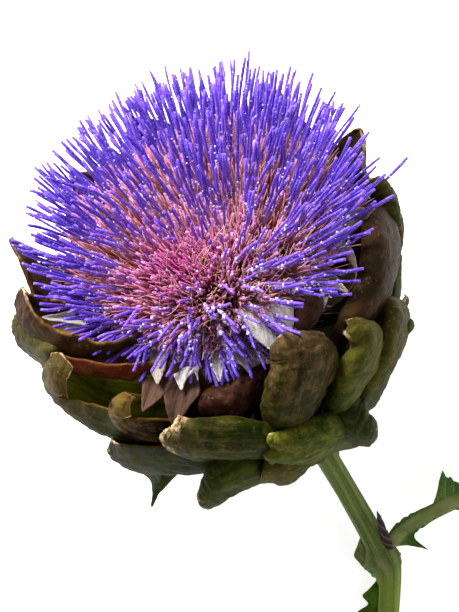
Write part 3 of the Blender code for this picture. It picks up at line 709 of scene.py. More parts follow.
# The low tones of single lower bracts here are partly their own darker colour and partly painted shade
bractLooks = {
    "pale_1": {"tone": 1.1, "flush": (190, 130, 130), "flushed": 0.5},
    "pale_2": {"tone": 0.85, "tint": (1.0, 0.93, 0.84)},
    "pale_5": {"ragged": 3.5},
    "pale_6": {"tone": 0.9, "tint": (1.0, 0.93, 0.85), "ragged": 3.5, "veins": 0.8},
    "pale_7": {"tone": 0.6, "tint": (1.0, 0.9, 0.78), "ragged": 4.0, "veins": 0.9},
    "inner_bract_1": {"low": (122, 86, 64), "high": (176, 142, 118), "flushed": 0.4, "tone": 0.72},
    "inner_bract_2": {
        "low": (108, 66, 56), "high": (160, 120, 104), "flush": (112, 44, 38), "flushed": 0.8, "tone": 0.6,
    },
    "inner_bract_3": {
        "low": (96, 50, 40), "high": (150, 110, 84), "flush": (110, 48, 42), "plump": 4, "tone": 0.22,
        "stain": 0.8, "scurfAndPaintedHighlight": 0.9, "dents": 0.4,
    },
    "inner_bract_4": {
        "low": (116, 80, 64), "high": (146, 112, 84), "flush": (78, 34, 28), "plump": 4, "tone": 0.26,
        "stain": 0.7,
    },
    "rim_bract_1": {"within": 2.5},
    "rim_bract_2": {
        "low": (78, 64, 36), "high": (112, 92, 56), "inner": (84, 76, 40), "cream": 0.9, "within": 3.0,
    },
    "rim_bract_3": {
        "low": (122, 52, 26), "high": (150, 82, 50), "inner": (132, 108, 74), "cream": 0.4,
        "flush": (150, 84, 62), "tone": 0.5, "within": 2.0,
    },
    # Its inner face is near black: painted shade
    "rim_bract_4": {
        "low": (66, 58, 36), "high": (104, 88, 58), "flush": (92, 46, 36), "flushed": 0.5,
        "inner": (28, 22, 16), "thick": 1.5, "tone": 0.26, "stain": 0.8, "scurfAndPaintedHighlight": 0.35,
    },
    "middle_bract_1": {
        "low": (80, 84, 44), "high": (112, 110, 70), "flush": (98, 80, 66), "tone": 0.4, "within": 2.0,
    },
    "middle_bract_2": {
        "flush": (104, 84, 62), "flushed": 1.0, "high": (78, 84, 44), "inner": (104, 112, 30), "tip": 0.8,
        "blue": 0.8, "tone": 0.44, "within": 3.4,
    },
    "middle_bract_3": {
        "low": (26, 15, 9), "high": (44, 28, 16), "flush": (158, 132, 94), "inner": (90, 98, 36),
        "tip": 0.8, "tone": 0.4, "within": 2.6,
    },
    "middle_bract_4": {
        "low": (56, 58, 26), "high": (96, 88, 46), "flush": (128, 100, 96), "flushed": 0.9,
        "notch": (1.5, 2.0), "notchAt": -5, "thick": 1.3, "tone": 0.34, "dents": 0.4, "stain": 0.6,
        "scurfAndPaintedHighlight": 0.35, "cream": 2.0, "tip": 6.0, "tipFrom": 0.8,
    },
    # Its inner face is near black: painted shade
    "middle_bract_5": {"inner": (20, 22, 10), "flushed": 0.3, "tone": 0.38},
    "middle_bract_6": {
        "low": (62, 76, 26), "high": (92, 104, 44), "flush": (110, 96, 60), "notch": (2.5, 1.6),
        "ragged": 1.6, "tip": 2.0, "dents": 0.4, "tone": 0.46,
    },
    "middle_bract_7": {"tone": 0.5},
    "outer_bract_1": {"flush": (120, 106, 70), "notch": (2.5, 1.5), "notchAt": 2, "tone": 0.22},
    "outer_bract_2": {
        "low": (46, 60, 16), "high": (76, 86, 30), "flush": (150, 128, 120), "flushed": 0.55,
        "ragged": 1.6, "tip": 9.0, "tipFrom": 0.74, "dents": 0.34, "cream": 0.8, "scurfAndPaintedHighlight": 0.35,
    },
    "outer_bract_3": {"tone": 0.4},
    "base_bract_1": {"notch": (1.8, 1.4), "tip": 4.5, "tone": 0.36},
    "base_bract_2": {"tip": 1.2, "flush": (150, 112, 46)},
    "base_bract_3": {"tip": 5.0, "notch": (1.5, 1.5), "tone": 0.26},
    "base_bract_6": {
        "low": (56, 72, 24), "high": (96, 108, 48), "flush": (160, 156, 96), "notch": (1.2, 1.2),
        "tone": 0.44, "scurfAndPaintedHighlight": 0.35,
    },
}

# What the bracts that the camera doesn't see have instead of their family's margins and tips, and how
# much their tone, their wave and the roll of their tips vary from one to the next
hiddenLooks = {"cream": 0.25, "tip": 0.7, "scurfAndPaintedHighlight": 0.16, "dents": 0.3, "horny": 0.45}
hiddenVaries = {"tone": 0.16, "wave": 0.7, "roll": (12, 62), "bow": 6, "skew": 28, "notch": (0.5, 2.5)}

# Lumps of a bract's surface, the size of their cells in mm and their height as a share or in mm
lumps = {"wave": ((9, 0.9), (4, 0.4)), "grain": (1.1, 0.10), "dents": 2.2, "ragged": 1.6}

# Where each family's bracts grow from the seat or the stem's neck: the share of the way along the stem's
# path, the half width of a root in mm, and the steps from there to a net's first row
rootAt = {"pale": 0.10, "inner": 0.14, "rim": 0.19, "middle": 0.23, "outer": 0.27, "base": 0.31}
rootShape = {"halfWidth": 6, "steps": (0, 0.3, 0.65)}


def outline(along, point):
    # half width as a share of the widest: it grows from the root, and past that place closes to the tip
    narrow, widest = sheets["rootWidth"], sheets["widestAt"]
    root = narrow + (1 - narrow) * np.sin(0.5 * np.pi * np.clip(along / widest, 0, 1))
    past = np.clip((along - widest) / (1 - widest), 0, 1)
    tip = (1 - past**point) ** (1 / point)
    return root * tip * np.sqrt(1 - (1 - np.clip(along / sheets["rootEnd"], 0, 1)) ** 2)


def fullness(along):
    # half thickness as a share of the thickest, none at both ends
    return np.sqrt(np.clip(1 - (2 * along - 1) ** 2, 0, 1)) ** 0.7


def gridValue(grid, along, across):
    # bilinear value of a grid at along 0 to 1 and across -1 to 1
    rows, columns = grid.shape
    i = np.clip(along, 0, 1) * (rows - 1)
    j = (np.clip(across, -1, 1) + 1) / 2 * (columns - 1)
    i0 = np.minimum(i.astype(int), rows - 2)
    j0 = np.minimum(j.astype(int), columns - 2)
    u, v = i - i0, j - j0
    low = grid[i0, j0] * (1 - v) + grid[i0, j0 + 1] * v
    high = grid[i0 + 1, j0] * (1 - v) + grid[i0 + 1, j0 + 1] * v
    return low * (1 - u) + high * u


def slide(grid, reach, axis, combine):
    # the grid's greatest or mean value within reach along one axis
    edges = [(reach, reach) if side == axis else (0, 0) for side in range(2)]
    padded = np.pad(grid, edges, mode="edge")
    size = grid.shape[axis]
    shifts = [np.take(padded, range(a, a + size), axis=axis) for a in range(2 * reach + 1)]
    return combine(np.stack(shifts), axis=0)


class Sheet:
    # one bract's middle surface: a distance from the head's centre at each place along and across it
    def __init__(self, row):
        tip, root, radii, halfWidth, halfThick, crown, self.point = row
        self.start = headDirection(*np.array(root, float))
        end = headDirection(*np.array(tip, float))
        self.arc = math.acos(float(self.start @ end))
        self.forward = unit(end - self.start * float(self.start @ end))
        self.side = np.cross(self.start, self.forward)
        self.radii = np.array(radii) * mm
        self.halfWidth, self.halfThick, self.crown = halfWidth * mm, halfThick * mm, crown * mm

    def ownRadius(self, along):
        # the parabola through the distances of root, middle and tip
        root, middle, tip = self.radii
        nearRoot = root * (1 - along) * (1 - 2 * along)
        return nearRoot + 4 * middle * along * (1 - along) + tip * along * (2 * along - 1)

    def halfAngle(self, along):
        return self.halfWidth * outline(along, self.point) / self.ownRadius(along)

    def direction(self, along, across):
        spine = turned(along * self.arc, self.start, self.forward)
        return turned(across * self.halfAngle(along), spine, self.side)

    def places(self, along, across):
        return headCentre + gridValue(self.middle, along, across)[..., None] * self.direction(along, across)

    def bulge(self, along, across):
        return self.halfThick * fullness(along) * np.sqrt(np.clip(1 - across**2, 0, 1))

    def outerRadius(self, directions):
        # distance of its outer face from the centre along each direction, 0 where it isn't
        along = np.arctan2(directions @ self.forward, directions @ self.start) / self.arc
        inside = (along > 0) & (along < 1)
        along = np.clip(along, 0.001, 0.999)
        across = np.arcsin(np.clip(directions @ self.side, -1, 1)) / self.halfAngle(along)
        inside &= np.abs(across) < 1
        return np.where(inside, gridValue(self.middle, along, across) + self.bulge(along, across), 0)

    def settle(self, earlier):
        # lays it at its own distance, or just clear of the bracts under it, and evens that out
        rows, columns = sheets["grid"]
        along, across = np.meshgrid(np.linspace(0, 1, rows), np.linspace(-1, 1, columns), indexing="ij")
        place = self.direction(np.clip(along, 0.01, 0.99), across)
        under = np.zeros_like(along)
        for other in earlier:
            under = np.maximum(under, other.outerRadius(place))
        lowest = np.where(under > 0, under + sheets["gap"] * mm + self.bulge(along, across), 0)
        grid = np.maximum(lowest, self.ownRadius(along) - self.crown * across**2)
        reach = (rows // 14, columns // 8)
        for combine, wide in ((np.max, reach), (np.mean, reach), (np.mean, (2, 2))):
            for axis in (0, 1):
                grid = slide(grid, wide[axis], axis, combine)
        self.middle = grid


def bend(points, origin, forward, normal, radius, most):
    # wraps what lies forward of the origin round a cylinder on the normal's side, up to the most turn
    away = points - origin
    ahead, height = away @ forward, away @ normal
    turn = np.clip(ahead / radius, 0, most)
    rest = np.maximum(ahead - most * radius, 0)
    newAhead = (radius - height) * np.sin(turn) + rest * np.cos(turn)
    newHeight = radius - (radius - height) * np.cos(turn) + rest * np.sin(turn)
    moved = points + (newAhead - ahead)[..., None] * forward + (newHeight - height)[..., None] * normal
    return np.where((ahead > 0)[..., None], moved, points)


def rolled(points, along, rolls):
    # the points with each roll bent from its row on, about a line that its skew turns off straight
    for start, degrees, bow, skew in rolls:
        row, middle = int(np.searchsorted(along, start)), points.shape[1] // 2
        normal = surfaceNormals(points)[row, middle]
        ahead = unit(points[row + 1, middle] - points[row - 1, middle])
        ahead = turned(np.radians(skew), ahead, np.cross(ahead, normal))
        points = bend(points, points[row, middle], ahead, normal, bow * mm, math.radians(degrees))
    return points


def netPlaces(name):
    # a net's places right, up and towards the camera from the head's centre, in mm: each is seen at its
    # pixel, which covers less the nearer the camera it is, and the sphere of its distance says how near
    rows = bractNets[name]
    across, down, distance = np.moveaxis(np.reshape(rows, (len(rows), -1, 3)), -1, 0)
    distance = distance + netLift.get(name, 0)
    (width, height), (x, y) = view["imageSize"], view["centrePixel"]
    scale = view["metresPerPixel"] / mm
    towards = distance if name in netsByDepth else np.full_like(distance, 30)
    for _ in range(8):
        near = 1 - towards * mm / view["distance"]
        right = ((across - width / 2) * near + width / 2 - x) * scale
        up = ((height / 2 - down) * near + y - height / 2) * scale
        if name not in netsByDepth:
            towards = np.sqrt(np.maximum(distance**2 - right**2 - up**2, 0))
    return np.round(np.stack([right, up, towards], axis=-1), 1)


def rooted(family, net):
    # a net carried on from its first row, round the head's centre, to the bract's root on the seat
    path, radius = stemAt(rootAt[family] + np.array([-0.02, 0, 0.02]))
    forward = unit(path[2] - path[0])
    first = net[0].mean(axis=0)
    away = first - path[1]
    away = unit(away - (away @ forward) * forward)
    root = path[1] + 0.85 * radius[1] * away
    beside = np.cross(forward, away)
    beside = beside * np.sign(beside @ (net[0, -1] - net[0, 0]))
    share = np.array(rootShape["steps"])[:, None]
    start, end = unit(root - headCentre), unit(first - headCentre)
    angle = math.acos(float(start @ end))
    direction = (np.sin((1 - share) * angle) * start + np.sin(share * angle) * end) / math.sin(angle)
    near, far = np.linalg.norm(root - headCentre), np.linalg.norm(first - headCentre)
    middle = headCentre + (near + (far - near) * np.sin(0.5 * np.pi * share)) * direction
    width = np.linspace(-1, 1, net.shape[1])[:, None] * rootShape["halfWidth"] * mm * beside
    offset = width + share[..., None] * (net[0] - first - width)
    return np.concatenate([middle[:, None] + offset, net])


def bractPoints(name, sheet, looks, halfThick):
    # the closed surface of one bract: its middle notched, rolled and wrinkled, and two faces beside it
    rings, columns = sheets["rings"], sheets["columns"]
    share = (np.arange(rings) + 1) / (rings + 1)
    along = 0.35 * share + 0.65 * (0.5 - 0.5 * np.cos(np.pi * share))  # rows closer together near both ends
    across = np.linspace(-1, 1, columns + 1)
    across = 0.55 * across + 0.45 * np.sin(0.5 * np.pi * across)  # columns closer near the margins
    s, t = np.meshgrid(along, across, indexing="ij")
    seed = sum(ord(letter) * (i + 1) for i, letter in enumerate(name))
    if name in bractNets:
        net = headCentre + netPlaces(name) * mm @ np.array(cameraAxes())
        net = rooted(name.split("_")[0], net) if sheet else net

    def lay(place):
        return smoothNet(net, place, (t + 1) / 2) if name in bractNets else sheet.places(place, -t)

    def lump(cell, offset):
        return latticeNoise(flat, cell * mm, seed + offset)

    points = lay(s)
    girth = np.cumsum(np.linalg.norm(np.diff(points, axis=1, prepend=points[:, :1]), axis=2), axis=1)
    width = girth[:, -1:] / 2
    offset = girth - width
    length = np.linalg.norm(np.diff(points[:, columns // 2], axis=0), axis=1).sum()
    depth, spread = (part * mm for part in looks["notch"])
    away = (offset - looks["notchAt"] * mm) / spread
    place = s - depth / length * np.exp(-(away**2)) * smooth(0.75, 1, s)
    flat = np.stack([offset, place * length, np.zeros_like(s)], axis=-1)
    place = place + looks["ragged"] * mm / length * lump(lumps["ragged"], 3) * smooth(0.9, 1, s)
    points = rolled(lay(place), along, looks["roll"])
    rounded = np.sqrt(np.clip(1 - np.abs(t) ** looks["plump"], 0, 1))
    wave = sum(lump(cell, i) * height for i, (cell, height) in enumerate(lumps["wave"]))
    margin = smooth(0.5, 1, np.abs(t)) * 0.8 + smooth(0.8, 1, s) * 0.5 + 0.35
    wave = wave * margin * looks["wave"] * mm * fullness(s)
    points = points + wave[..., None] * surfaceNormals(points)
    thick = halfThick * fullness(s) * rounded
    points[..., 2] = np.maximum(points[..., 2], thick + 0.3 * mm)  # a foot's inside stays above the floor
    normals = surfaceNormals(points)
    cell, height = lumps["grain"]
    grain = latticeNoise(flat * [1, 0.25, 1], cell * mm, seed + 2) * height * mm
    dents = lump(lumps["dents"], 4) * looks["dents"] * mm
    outer = points + (thick + (grain + dents) * rounded * smooth(0, 0.06, 1 - s))[..., None] * normals
    ring = bothFaces(outer, points - thick[..., None] * normals)
    ring[..., 2] = np.maximum(ring[..., 2], 0.1 * mm)
    rim = np.minimum(width - np.abs(offset), (1 - s) * length) / mm
    facing = 0.5 * np.sqrt(np.clip(1 - t**2, 0, 1))
    attributes = {
        "along": bothFaces(place, place),
        "across": bothFaces(offset, offset) / mm,
        "rim": bothFaces(rim, rim),
        "outside": bothFaces(0.5 + facing, 0.5 - facing),
    }
    return ring.reshape(-1, 3), sheetFaces(rings, columns), attributes


def bractMaterial(name, looks):
    # skin in two greens or browns in patches of several sizes, streaked along, a flush towards the tip,
    # dark stains, pale scurf that is partly painted highlight, ochre margins, and a horny cream tip; the
    # inner face has its own colour, brightened as painted light on some bracts and darkened as painted
    # shade on others, and darker near the root as painted shade
    skin = Finish("skin_" + name, 0.03, np.array(looks["tint"]) * looks["tone"])
    along, across, rim, outside = skin.values("along", "across", "rim", "outside")
    blotch, patch = skin.noise(70, 4, 0.6), skin.noise(210, 5, 0.65)
    speck, stain = skin.noise(900, 3, 0.6), skin.noise(120, 6, 0.7)
    streak = skin.noise(1, 4, 0.65, skin.vector(across * 0.7, along * 3.0, outside * 4))
    fine = skin.noise(1, 3, 0.7, skin.vector(across * 2.8, along * 8, outside * 9))
    patches = skin.step(0.44, 0.57, blotch * 0.4 + patch * 0.35 + streak * 0.25)
    skin.paint(patches, looks["low"], looks["high"])
    flush = skin.step(0.35, 1.0, along + (patch - 0.5) * 1.4 + (streak - 0.5) * 1.0)
    skin.paint(flush * looks["flushed"], looks["flush"])
    skin.paint(skin.step(0.6, 0.1, along) * looks["blue"] * skin.step(0.35, 0.6, patch), (96, 122, 100))
    # The inner face: its own colour times the bract's share of painted light, which is painted shade below
    # 1, in two strengths along its streaks, and half of its colour near the root as painted shade
    lining = np.array(skin.colour(*looks["inner"]))
    shares = (looks["within"], 0.6 * looks["within"], 0.5)
    paintedLitLining, paintedDimLining, paintedRootShade = (tuple(lining * [share, share, share, 1]) for share in shares)
    within = skin.mix(skin.step(0.35, 0.65, streak), paintedLitLining, paintedDimLining)
    within = skin.mix(skin.step(0.42, 0.3, along), within, paintedRootShade)
    skin.paint(skin.step(0.55, 0.38, outside), within)
    skin.paint(skin.step(0.5, 0.78, fine) * looks["veins"] * 0.55, (34, 28, 16))
    skin.paint(skin.step(0.52, 0.64, stain) * looks["stain"], (44, 26, 20))
    # Pale patches and specks on the outer face: partly real scurf and partly painted highlight
    scurfAndPaintedHighlight = skin.step(0.3, 0.45, along) * skin.step(0.35, 0.6, outside) * looks["scurfAndPaintedHighlight"]
    skin.paint(skin.step(0.53, 0.66, patch * 0.5 + speck * 0.5) * scurfAndPaintedHighlight, (176, 164, 130))
    skin.paint(skin.step(0.68, 0.76, speck) * scurfAndPaintedHighlight * 1.2, (216, 206, 172))
    ochre = skin.step(0.56, 0.66, streak * 0.7 + blotch * 0.3) * skin.step(0.3, 0.9, along)
    skin.paint(ochre * looks["scurfAndPaintedHighlight"] * 1.8, (156, 112, 40))
    cream, tip = looks["cream"], looks["tip"]
    if cream:
        near = rim + (patch - 0.5) * cream * 3.5 + (speck - 0.5) * 0.6
        edge = skin.step(cream * 1.6, cream * 0.5, near) * 0.8 * looks["horny"]
        margin = skin.mix(skin.step(0.45, 0.62, patch), (124, 82, 36), (180, 144, 88))
        skin.paint(edge * skin.step(0.3, 0.45, along), margin)
    if tip:
        near = rim + (skin.noise(420, 3) - 0.5) * tip * 2.2
        further = skin.step(looks["tipFrom"], looks["tipFrom"] + 0.1, along + (patch - 0.5) * 0.2)
        horn = skin.mix(skin.step(0.44, 0.58, skin.noise(330, 5, 0.7)), rgb(190, 166, 124), rgb(98, 72, 52))
        skin.paint(skin.step(tip, tip * 0.4, near) * further * 0.9 * looks["horny"], horn)
    height = streak * 0.4 + fine * 0.3 + patch * 0.45 + speck * 0.16 + stain * 0.3
    return skin.finish(0.4 + 0.34 * patch, height, 1.0, 1.0)


def hidden(name, looks):
    # the looks of a bract that the camera doesn't see, a little different from its neighbours'
    random = np.random.default_rng([ord(letter) for letter in name])
    varies = hiddenVaries
    looks = {**looks, **hiddenLooks}
    looks["tone"] *= 1 + varies["tone"] * random.uniform(-1, 1)
    looks["wave"] += varies["wave"] * random.uniform(0, 1)
    if not name.startswith("foot"):
        start, degrees = random.uniform(0.78, 0.86), random.uniform(*varies["roll"])
        looks["roll"] = ((start, degrees, varies["bow"], varies["skew"] * random.uniform(-1, 1)),)
    looks["notch"] = (random.uniform(*varies["notch"]), 1.6)
    looks["notchAt"] = random.uniform(-4, 4)
    return looks


def makeBracts():
    laid = []
    for family, rows in bractRows.items():
        for number, row in enumerate(rows, 1):
            name = family + str(number)
            sheet = Sheet(row)
            sheet.settle(laid)
            laid.append(sheet)
            kind = name.split("_")[0]
            looks = {**plainBract, **familyLooks[kind], **bractLooks.get(name, {})}
            looks = looks if name in bractNets else hidden(name, looks)
            surface = bractPoints(name, sheet, looks, sheet.halfThick * looks["thick"])
            piece = makeMesh("skin_" + name, *surface)
            slot = (kind if kind in ("pale", "inner", "rim") else "green") + "_bract"
            finishPiece(piece, bractMaterial(name, looks), slot, name)
    print("bracts:", len(laid))


# The brush of florets, all grown from one root. Lengths in mm, angles in degrees: spread is how far down
# from its axis the florets reach, the heart is where they part, and fan is how much further they lean
# away from it, first on the far side and then on the stem's
brush = {
    "root": (5.0, -8.2, -18.2),
    "slant": 4,
    "spread": 45,
    "stray": 8,
    "count": 820,
    "seed": 11,
    "eachTurn": 137.508,
    "neck": (47, 18),
    "openFrom": 28,
    "heartAt": (12, -8),
    "heartWidth": 13,
    "fan": (4, 34),
    "low": {"count": 140, "around": (-96, 4), "down": (36, 44), "neck": 59, "sag": 6},
}
# Threads of each kind. Radii in mm from foot to end, and how much they vary from one thread to the next
styles = {"steps": 9, "radius": 0.52, "varies": (0.85, 1.15), "sides": 5, "bow": 1.5, "kink": 0.35}
anthers = {
    "from": -16, "length": 21, "radii": (0.5, 0.62, 0.72, 0.85, 0.9, 0.6), "varies": (0.8, 1.2), "sides": 5,
}
petals = {
    "each": 4, "lift": (-17, -11, -5, 1, 5), "flare": (0.5, 0.8, 1.1, 1.7, 2.6),
    "radii": (0.4, 0.44, 0.42, 0.36, 0.2), "sides": 3,
}
pollen = {"each": 18, "size": (0.16, 0.5), "off": 0.55}
core = {"rings": 40, "sides": 120, "down": (2, 60), "top": 40, "foot": 4}
fibres = {
    "count": 2800, "below": (8, 15), "length": (10, 17), "radii": (0.3, 0.3, 0.28, 0.24, 0.1), "sides": 3,
    "heartWidth": 15,
}
hairs = {"count": 640, "length": (5, 16), "curl": 1.8, "radius": 0.14}
bristles = {
    "count": 900, "down": (41, 56), "from": (34, 46), "length": (6, 15), "curl": 0.7, "radius": 0.13,
}
scales = {
    "count": 420, "around": 62, "down": (39, 50), "from": (38, 50), "length": (6, 15), "sides": 5,
    "radii": (0.3, 0.7, 0.9, 0.9, 0.7, 0.4, 0.08),
}


def packedDirections(random):
    # florets packed evenly over the cap: each takes the same area, a golden turn on from the
    # last, and is pulled in a little on the stem's side and at the lower left; then some more
    # that hang low on the stem's side
    count, spread, low = brush["count"], brush["spread"], brush["low"]
    share = (np.arange(count) + 0.5) / count
    down = np.degrees(np.arccos(1 - share * (1 - math.cos(math.radians(spread)))))
    around = np.arange(count) * brush["eachTurn"] + random.normal(0, 4, count)
    loose = (random.uniform(0, 1, count) < 0.12) * smooth(30, spread, down) * brush["stray"]
    beside = onSide(around, -58, 0.2, 0.9)
    down = down * (1 - 0.09 * onSide(around, 0, 0.2)) + random.normal(0, 0.9, count) + loose * (1 - beside)
    down = np.minimum(down * (1 - 0.05 * beside), spread + 9 - 10 * beside)
    around = np.concatenate([around, random.uniform(*low["around"], low["count"])])
    down = np.concatenate([down, random.uniform(*low["down"], low["count"])])
    slant = np.radians(brush["slant"])
    axis, right = turned(slant, flowerAxis, rightSide), turned(slant, rightSide, -flowerAxis)
    return headDirection(around, down, axis, stemSide, right), np.abs(down), around


def fanned(out, axis):
    # which way each style points: they fan out from the heart of the brush, most of all on the stem's
    # side; also the degrees from the heart, and how much a floret is on the stem's side
    right = unit(rightSide - (rightSide @ axis) * axis)
    front = np.cross(right, axis)
    ahead, beside = (math.tan(math.radians(part)) for part in brush["heartAt"])
    heart = unit(axis + ahead * front + beside * right)
    away = np.degrees(np.arccos(np.clip(out @ heart, -1, 1)))
    aside = unit(out - (out @ heart)[:, None] * heart)
    close = smooth(-0.3, 1, aside @ unit(front - (front @ heart) * heart))
    aside = unit(aside - (aside * out).sum(axis=1)[:, None] * out)
    little, much = brush["fan"]
    turn = np.radians((little + (much - little) * close) * smooth(3, 30, away))
    return unit(turned(turn, out, aside)), away, close


class Florets:
    # where every floret starts and heads, how long its style is, and how its place changes it
    def __init__(self):
        self.random = random = np.random.default_rng(brush["seed"])
        self.root = fromCentre(brush["root"])
        self.out, down, around = packedDirections(random)
        self.count = count = len(self.out)
        self.axis = unit(self.out.sum(axis=0))
        self.heading, self.away, self.close = fanned(self.out, self.axis)
        low = np.arange(count) >= brush["count"]
        short, more = brush["neck"]
        neck = np.where(low, brush["low"]["neck"], short + more * smooth(0, 34, down))
        self.neck = (neck + random.normal(0, 1.6, count)) * mm
        opened = smooth(4, brush["openFrom"], self.away + 6 * self.close)
        far, left = onSide(around, 180, -0.5), onSide(around, -90, -0.2)
        longest = 18 + 2 * far - 2.5 * left - 2 * self.close
        self.length = np.maximum(4 + longest * opened + random.normal(0, 1.6, count), 3) * mm
        self.heart = np.exp(-((self.away / brush["heartWidth"]) ** 2))
        self.lowLeft = onSide(around, -65, -0.2)
        lean = random.normal(0, 1, (count, 3))
        self.lean = lean - (lean * self.heading).sum(axis=1)[:, None] * self.heading
        self.start = self.root + self.neck[:, None] * self.out
        self.sag = self.lean * styles["bow"] * mm - (low * brush["low"]["sag"] * mm)[:, None] * [0, 0, 1]
        self.middle = unit(self.out + self.heading)


def strands(start, heading, length, share, bow=0.0):
    # places along threads: from each start along its heading, and aside by the bow times the way squared
    ahead = (share * np.reshape(length, (-1, 1)))[..., None] * heading[:, None]
    return start[:, None] + ahead + (share**2)[:, None] * bow


def threads(name, material, paths, radii, sides, **shades):
    # closed threads along the paths; shades are values per thread that the material reads
    values = {key: value[:, None] for key, value in shades.items()}
    values["along"] = np.linspace(0, 1, paths.shape[1])
    finishPiece(makeMesh(name, *manyTubes(paths, radii, sides, values)), material, "florets", "florets")


def makeStyles(f):
    # slightly bowed rods, thicker at their blunt ends; most of those near the heart are still inside
    random, share = f.random, np.linspace(0, 1, styles["steps"])
    kink = np.sin(share * 5)[:, None] * random.normal(0, styles["kink"], (f.count, 1, 3)) * mm
    paths = strands(f.start, f.heading, f.length, share, f.sag[:, None]) + kink
    radii = styles["radius"] * (0.78 + 0.3 * share) * random.uniform(*styles["varies"], (f.count, 1))
    radii[:, -1] *= 0.85
    f.shown = s = random.uniform(0, 1, f.count) < 0.1 + 0.9 * smooth(13, 43, f.away + 13 * f.lowLeft)
    tone = random.uniform(0, 1, f.count)
    threads("styles", styleMaterial(), paths[s], radii[s], styles["sides"], heart=f.heart[s], tone=tone[s])


def makeAnthers(f):
    # the tube of anthers round the foot of each style
    share = np.linspace(0, 1, len(anthers["radii"]))
    start = f.start + anthers["from"] * mm * f.middle
    paths = strands(start, f.middle, anthers["length"] * mm, share, (f.lean * 0.3 * mm)[:, None])
    radii = np.array(anthers["radii"]) * f.random.uniform(*anthers["varies"], (f.count, 1))
    radii = radii * (1 - 0.4 * f.heart)[:, None]
    tone = f.random.uniform(0, 1, f.count)
    threads("anthers", antherMaterial(), paths, radii, anthers["sides"], heart=f.heart, tone=tone)


def makePetals(f):
    # slim petals that stand round each tube of anthers and flare towards their ends
    random, each = f.random, petals["each"]
    many = f.count * each
    turn = np.arange(each) * 2 * np.pi / each + random.uniform(0, 6, (f.count, 1))
    aside = unit(np.cross(f.middle, f.axis + 0.01))
    spread = turned(turn, aside[:, None], np.cross(f.middle, aside)[:, None]).reshape(-1, 1, 3)
    middle, start = (np.repeat(part, each, axis=0)[:, None] for part in (f.middle, f.start))
    lift = (np.array(petals["lift"]) + random.normal(0, 1.2, (many, 1))) * mm
    flare = np.array(petals["flare"]) * random.uniform(0.6, 1.3, (many, 1)) * mm
    paths = start + lift[..., None] * middle + flare[..., None] * spread
    paths = paths + random.normal(0, 0.25, paths.shape) * mm
    radii = np.array(petals["radii"]) * np.ones((many, 1))
    heart, tone = np.repeat(f.heart, each), random.uniform(0, 1, many)
    threads("petals", petalMaterial(), paths, radii, petals["sides"], heart=heart, tone=tone)


def makePollen(f):
    # grains on the lower half of the styles and on the anthers, more and larger ones on the stem's side
    random = f.random
    pick = np.repeat(np.arange(f.count)[f.shown], pollen["each"])
    where = random.beta(1.1, 2.4, len(pick)) - 0.12
    place = f.start[pick] + (where * f.length[pick])[:, None] * f.heading[pick]
    place = place + (where**2)[:, None] * f.sag[pick]
    place += unit(random.normal(0, 1, (len(pick), 3))) * pollen["off"] * mm
    size = random.uniform(*pollen["size"], len(pick)) * (1 + 0.7 * f.close[pick]) * mm
    dusted = random.uniform(0, 1, f.count) ** 1.5 + 0.1 + 0.2 * f.close
    keep = random.uniform(0, 1, len(pick)) < dusted[pick]
    piece = makeMesh("pollen", *manyBeads(place[keep], size[keep]))
    finishPiece(piece, pollenMaterial(), "florets", "florets")


def makeCore(f):
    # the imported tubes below, as one closed fibrous dome, so that nothing shows through
    rings, sides = core["rings"], core["sides"]
    right = unit(np.cross([0, 1.0, 0], f.axis))
    around = np.arange(sides) * 360 / sides
    down, around = np.meshgrid(np.linspace(*core["down"], rings), around, indexing="ij")
    directions = headDirection(around, down, f.axis, np.cross(f.axis, right), right)
    near = np.exp(-(((down - 30) / 14) ** 2)) * onSide(around, 0, 0.3)
    reach = (44 + 10 * smooth(0, 36, down) - 28 * smooth(42, 58, down) + near) * mm
    points = f.root + reach[..., None] * directions
    points = points + latticeNoise(points, 2.2 * mm, 3)[..., None] * directions * mm
    ends = (f.root + core["top"] * mm * f.axis, f.root + core["foot"] * mm * f.axis)
    piece = makeTube("packed_tubes", points, ends, {"along": down / core["down"][1]})
    finishPiece(piece, coreMaterial(), "florets", "florets")


def makeFibres(f):
    # fine threads that fill the brush between the florets and lean out from the heart as they do
    random, count = f.random, fibres["count"]
    pick = random.integers(0, f.count, count)
    out = unit(f.out[pick] + random.normal(0, 0.03, (count, 3)))
    leaning, away, close = fanned(out, f.axis)
    start = f.root + (f.neck[pick] - random.uniform(*fibres["below"], count) * mm)[:, None] * out
    lean = (0.25 + 0.35 * smooth(0, 16, away))[:, None] * unit(leaning - out)
    heading = unit(out + lean + random.normal(0, 0.1, (count, 3)))
    share = np.linspace(0, 1, len(fibres["radii"]))
    length = random.uniform(*fibres["length"], count) * mm
    paths = strands(start, heading, length, share, random.normal(0, 1.0, (count, 1, 3)) * mm)
    radii = np.array(fibres["radii"]) * random.uniform(0.7, 1.2, (count, 1))
    tone = np.clip(0.35 * close + random.uniform(0, 0.75, count), 0, 1)
    heart = np.exp(-((away / fibres["heartWidth"]) ** 2))
    threads("fibres", fibreMaterial(), paths, radii, fibres["sides"], heart=heart, tone=tone)


def curled(f, name, material, start, heading, kind):
    # thin hairs that curl as they go: round by a turn that grows along them
    random, count = f.random, kind["count"]
    length = random.uniform(*kind["length"], count) * mm
    share = np.linspace(0, 1, 12)
    curl = unit(random.normal(0, 1, (count, 3)))
    turn = share * random.uniform(1, 5, (count, 1))
    aside = unit(np.cross(heading, curl))[:, None]
    circled = np.sin(turn)[..., None] * aside + (1 - np.cos(turn))[..., None] * curl[:, None]
    paths = strands(start, heading, length, share) + kind["curl"] * mm * circled
    threads(name, material, paths, kind["radius"] * (1.1 - 0.6 * share) * np.ones((count, 1)), 3)


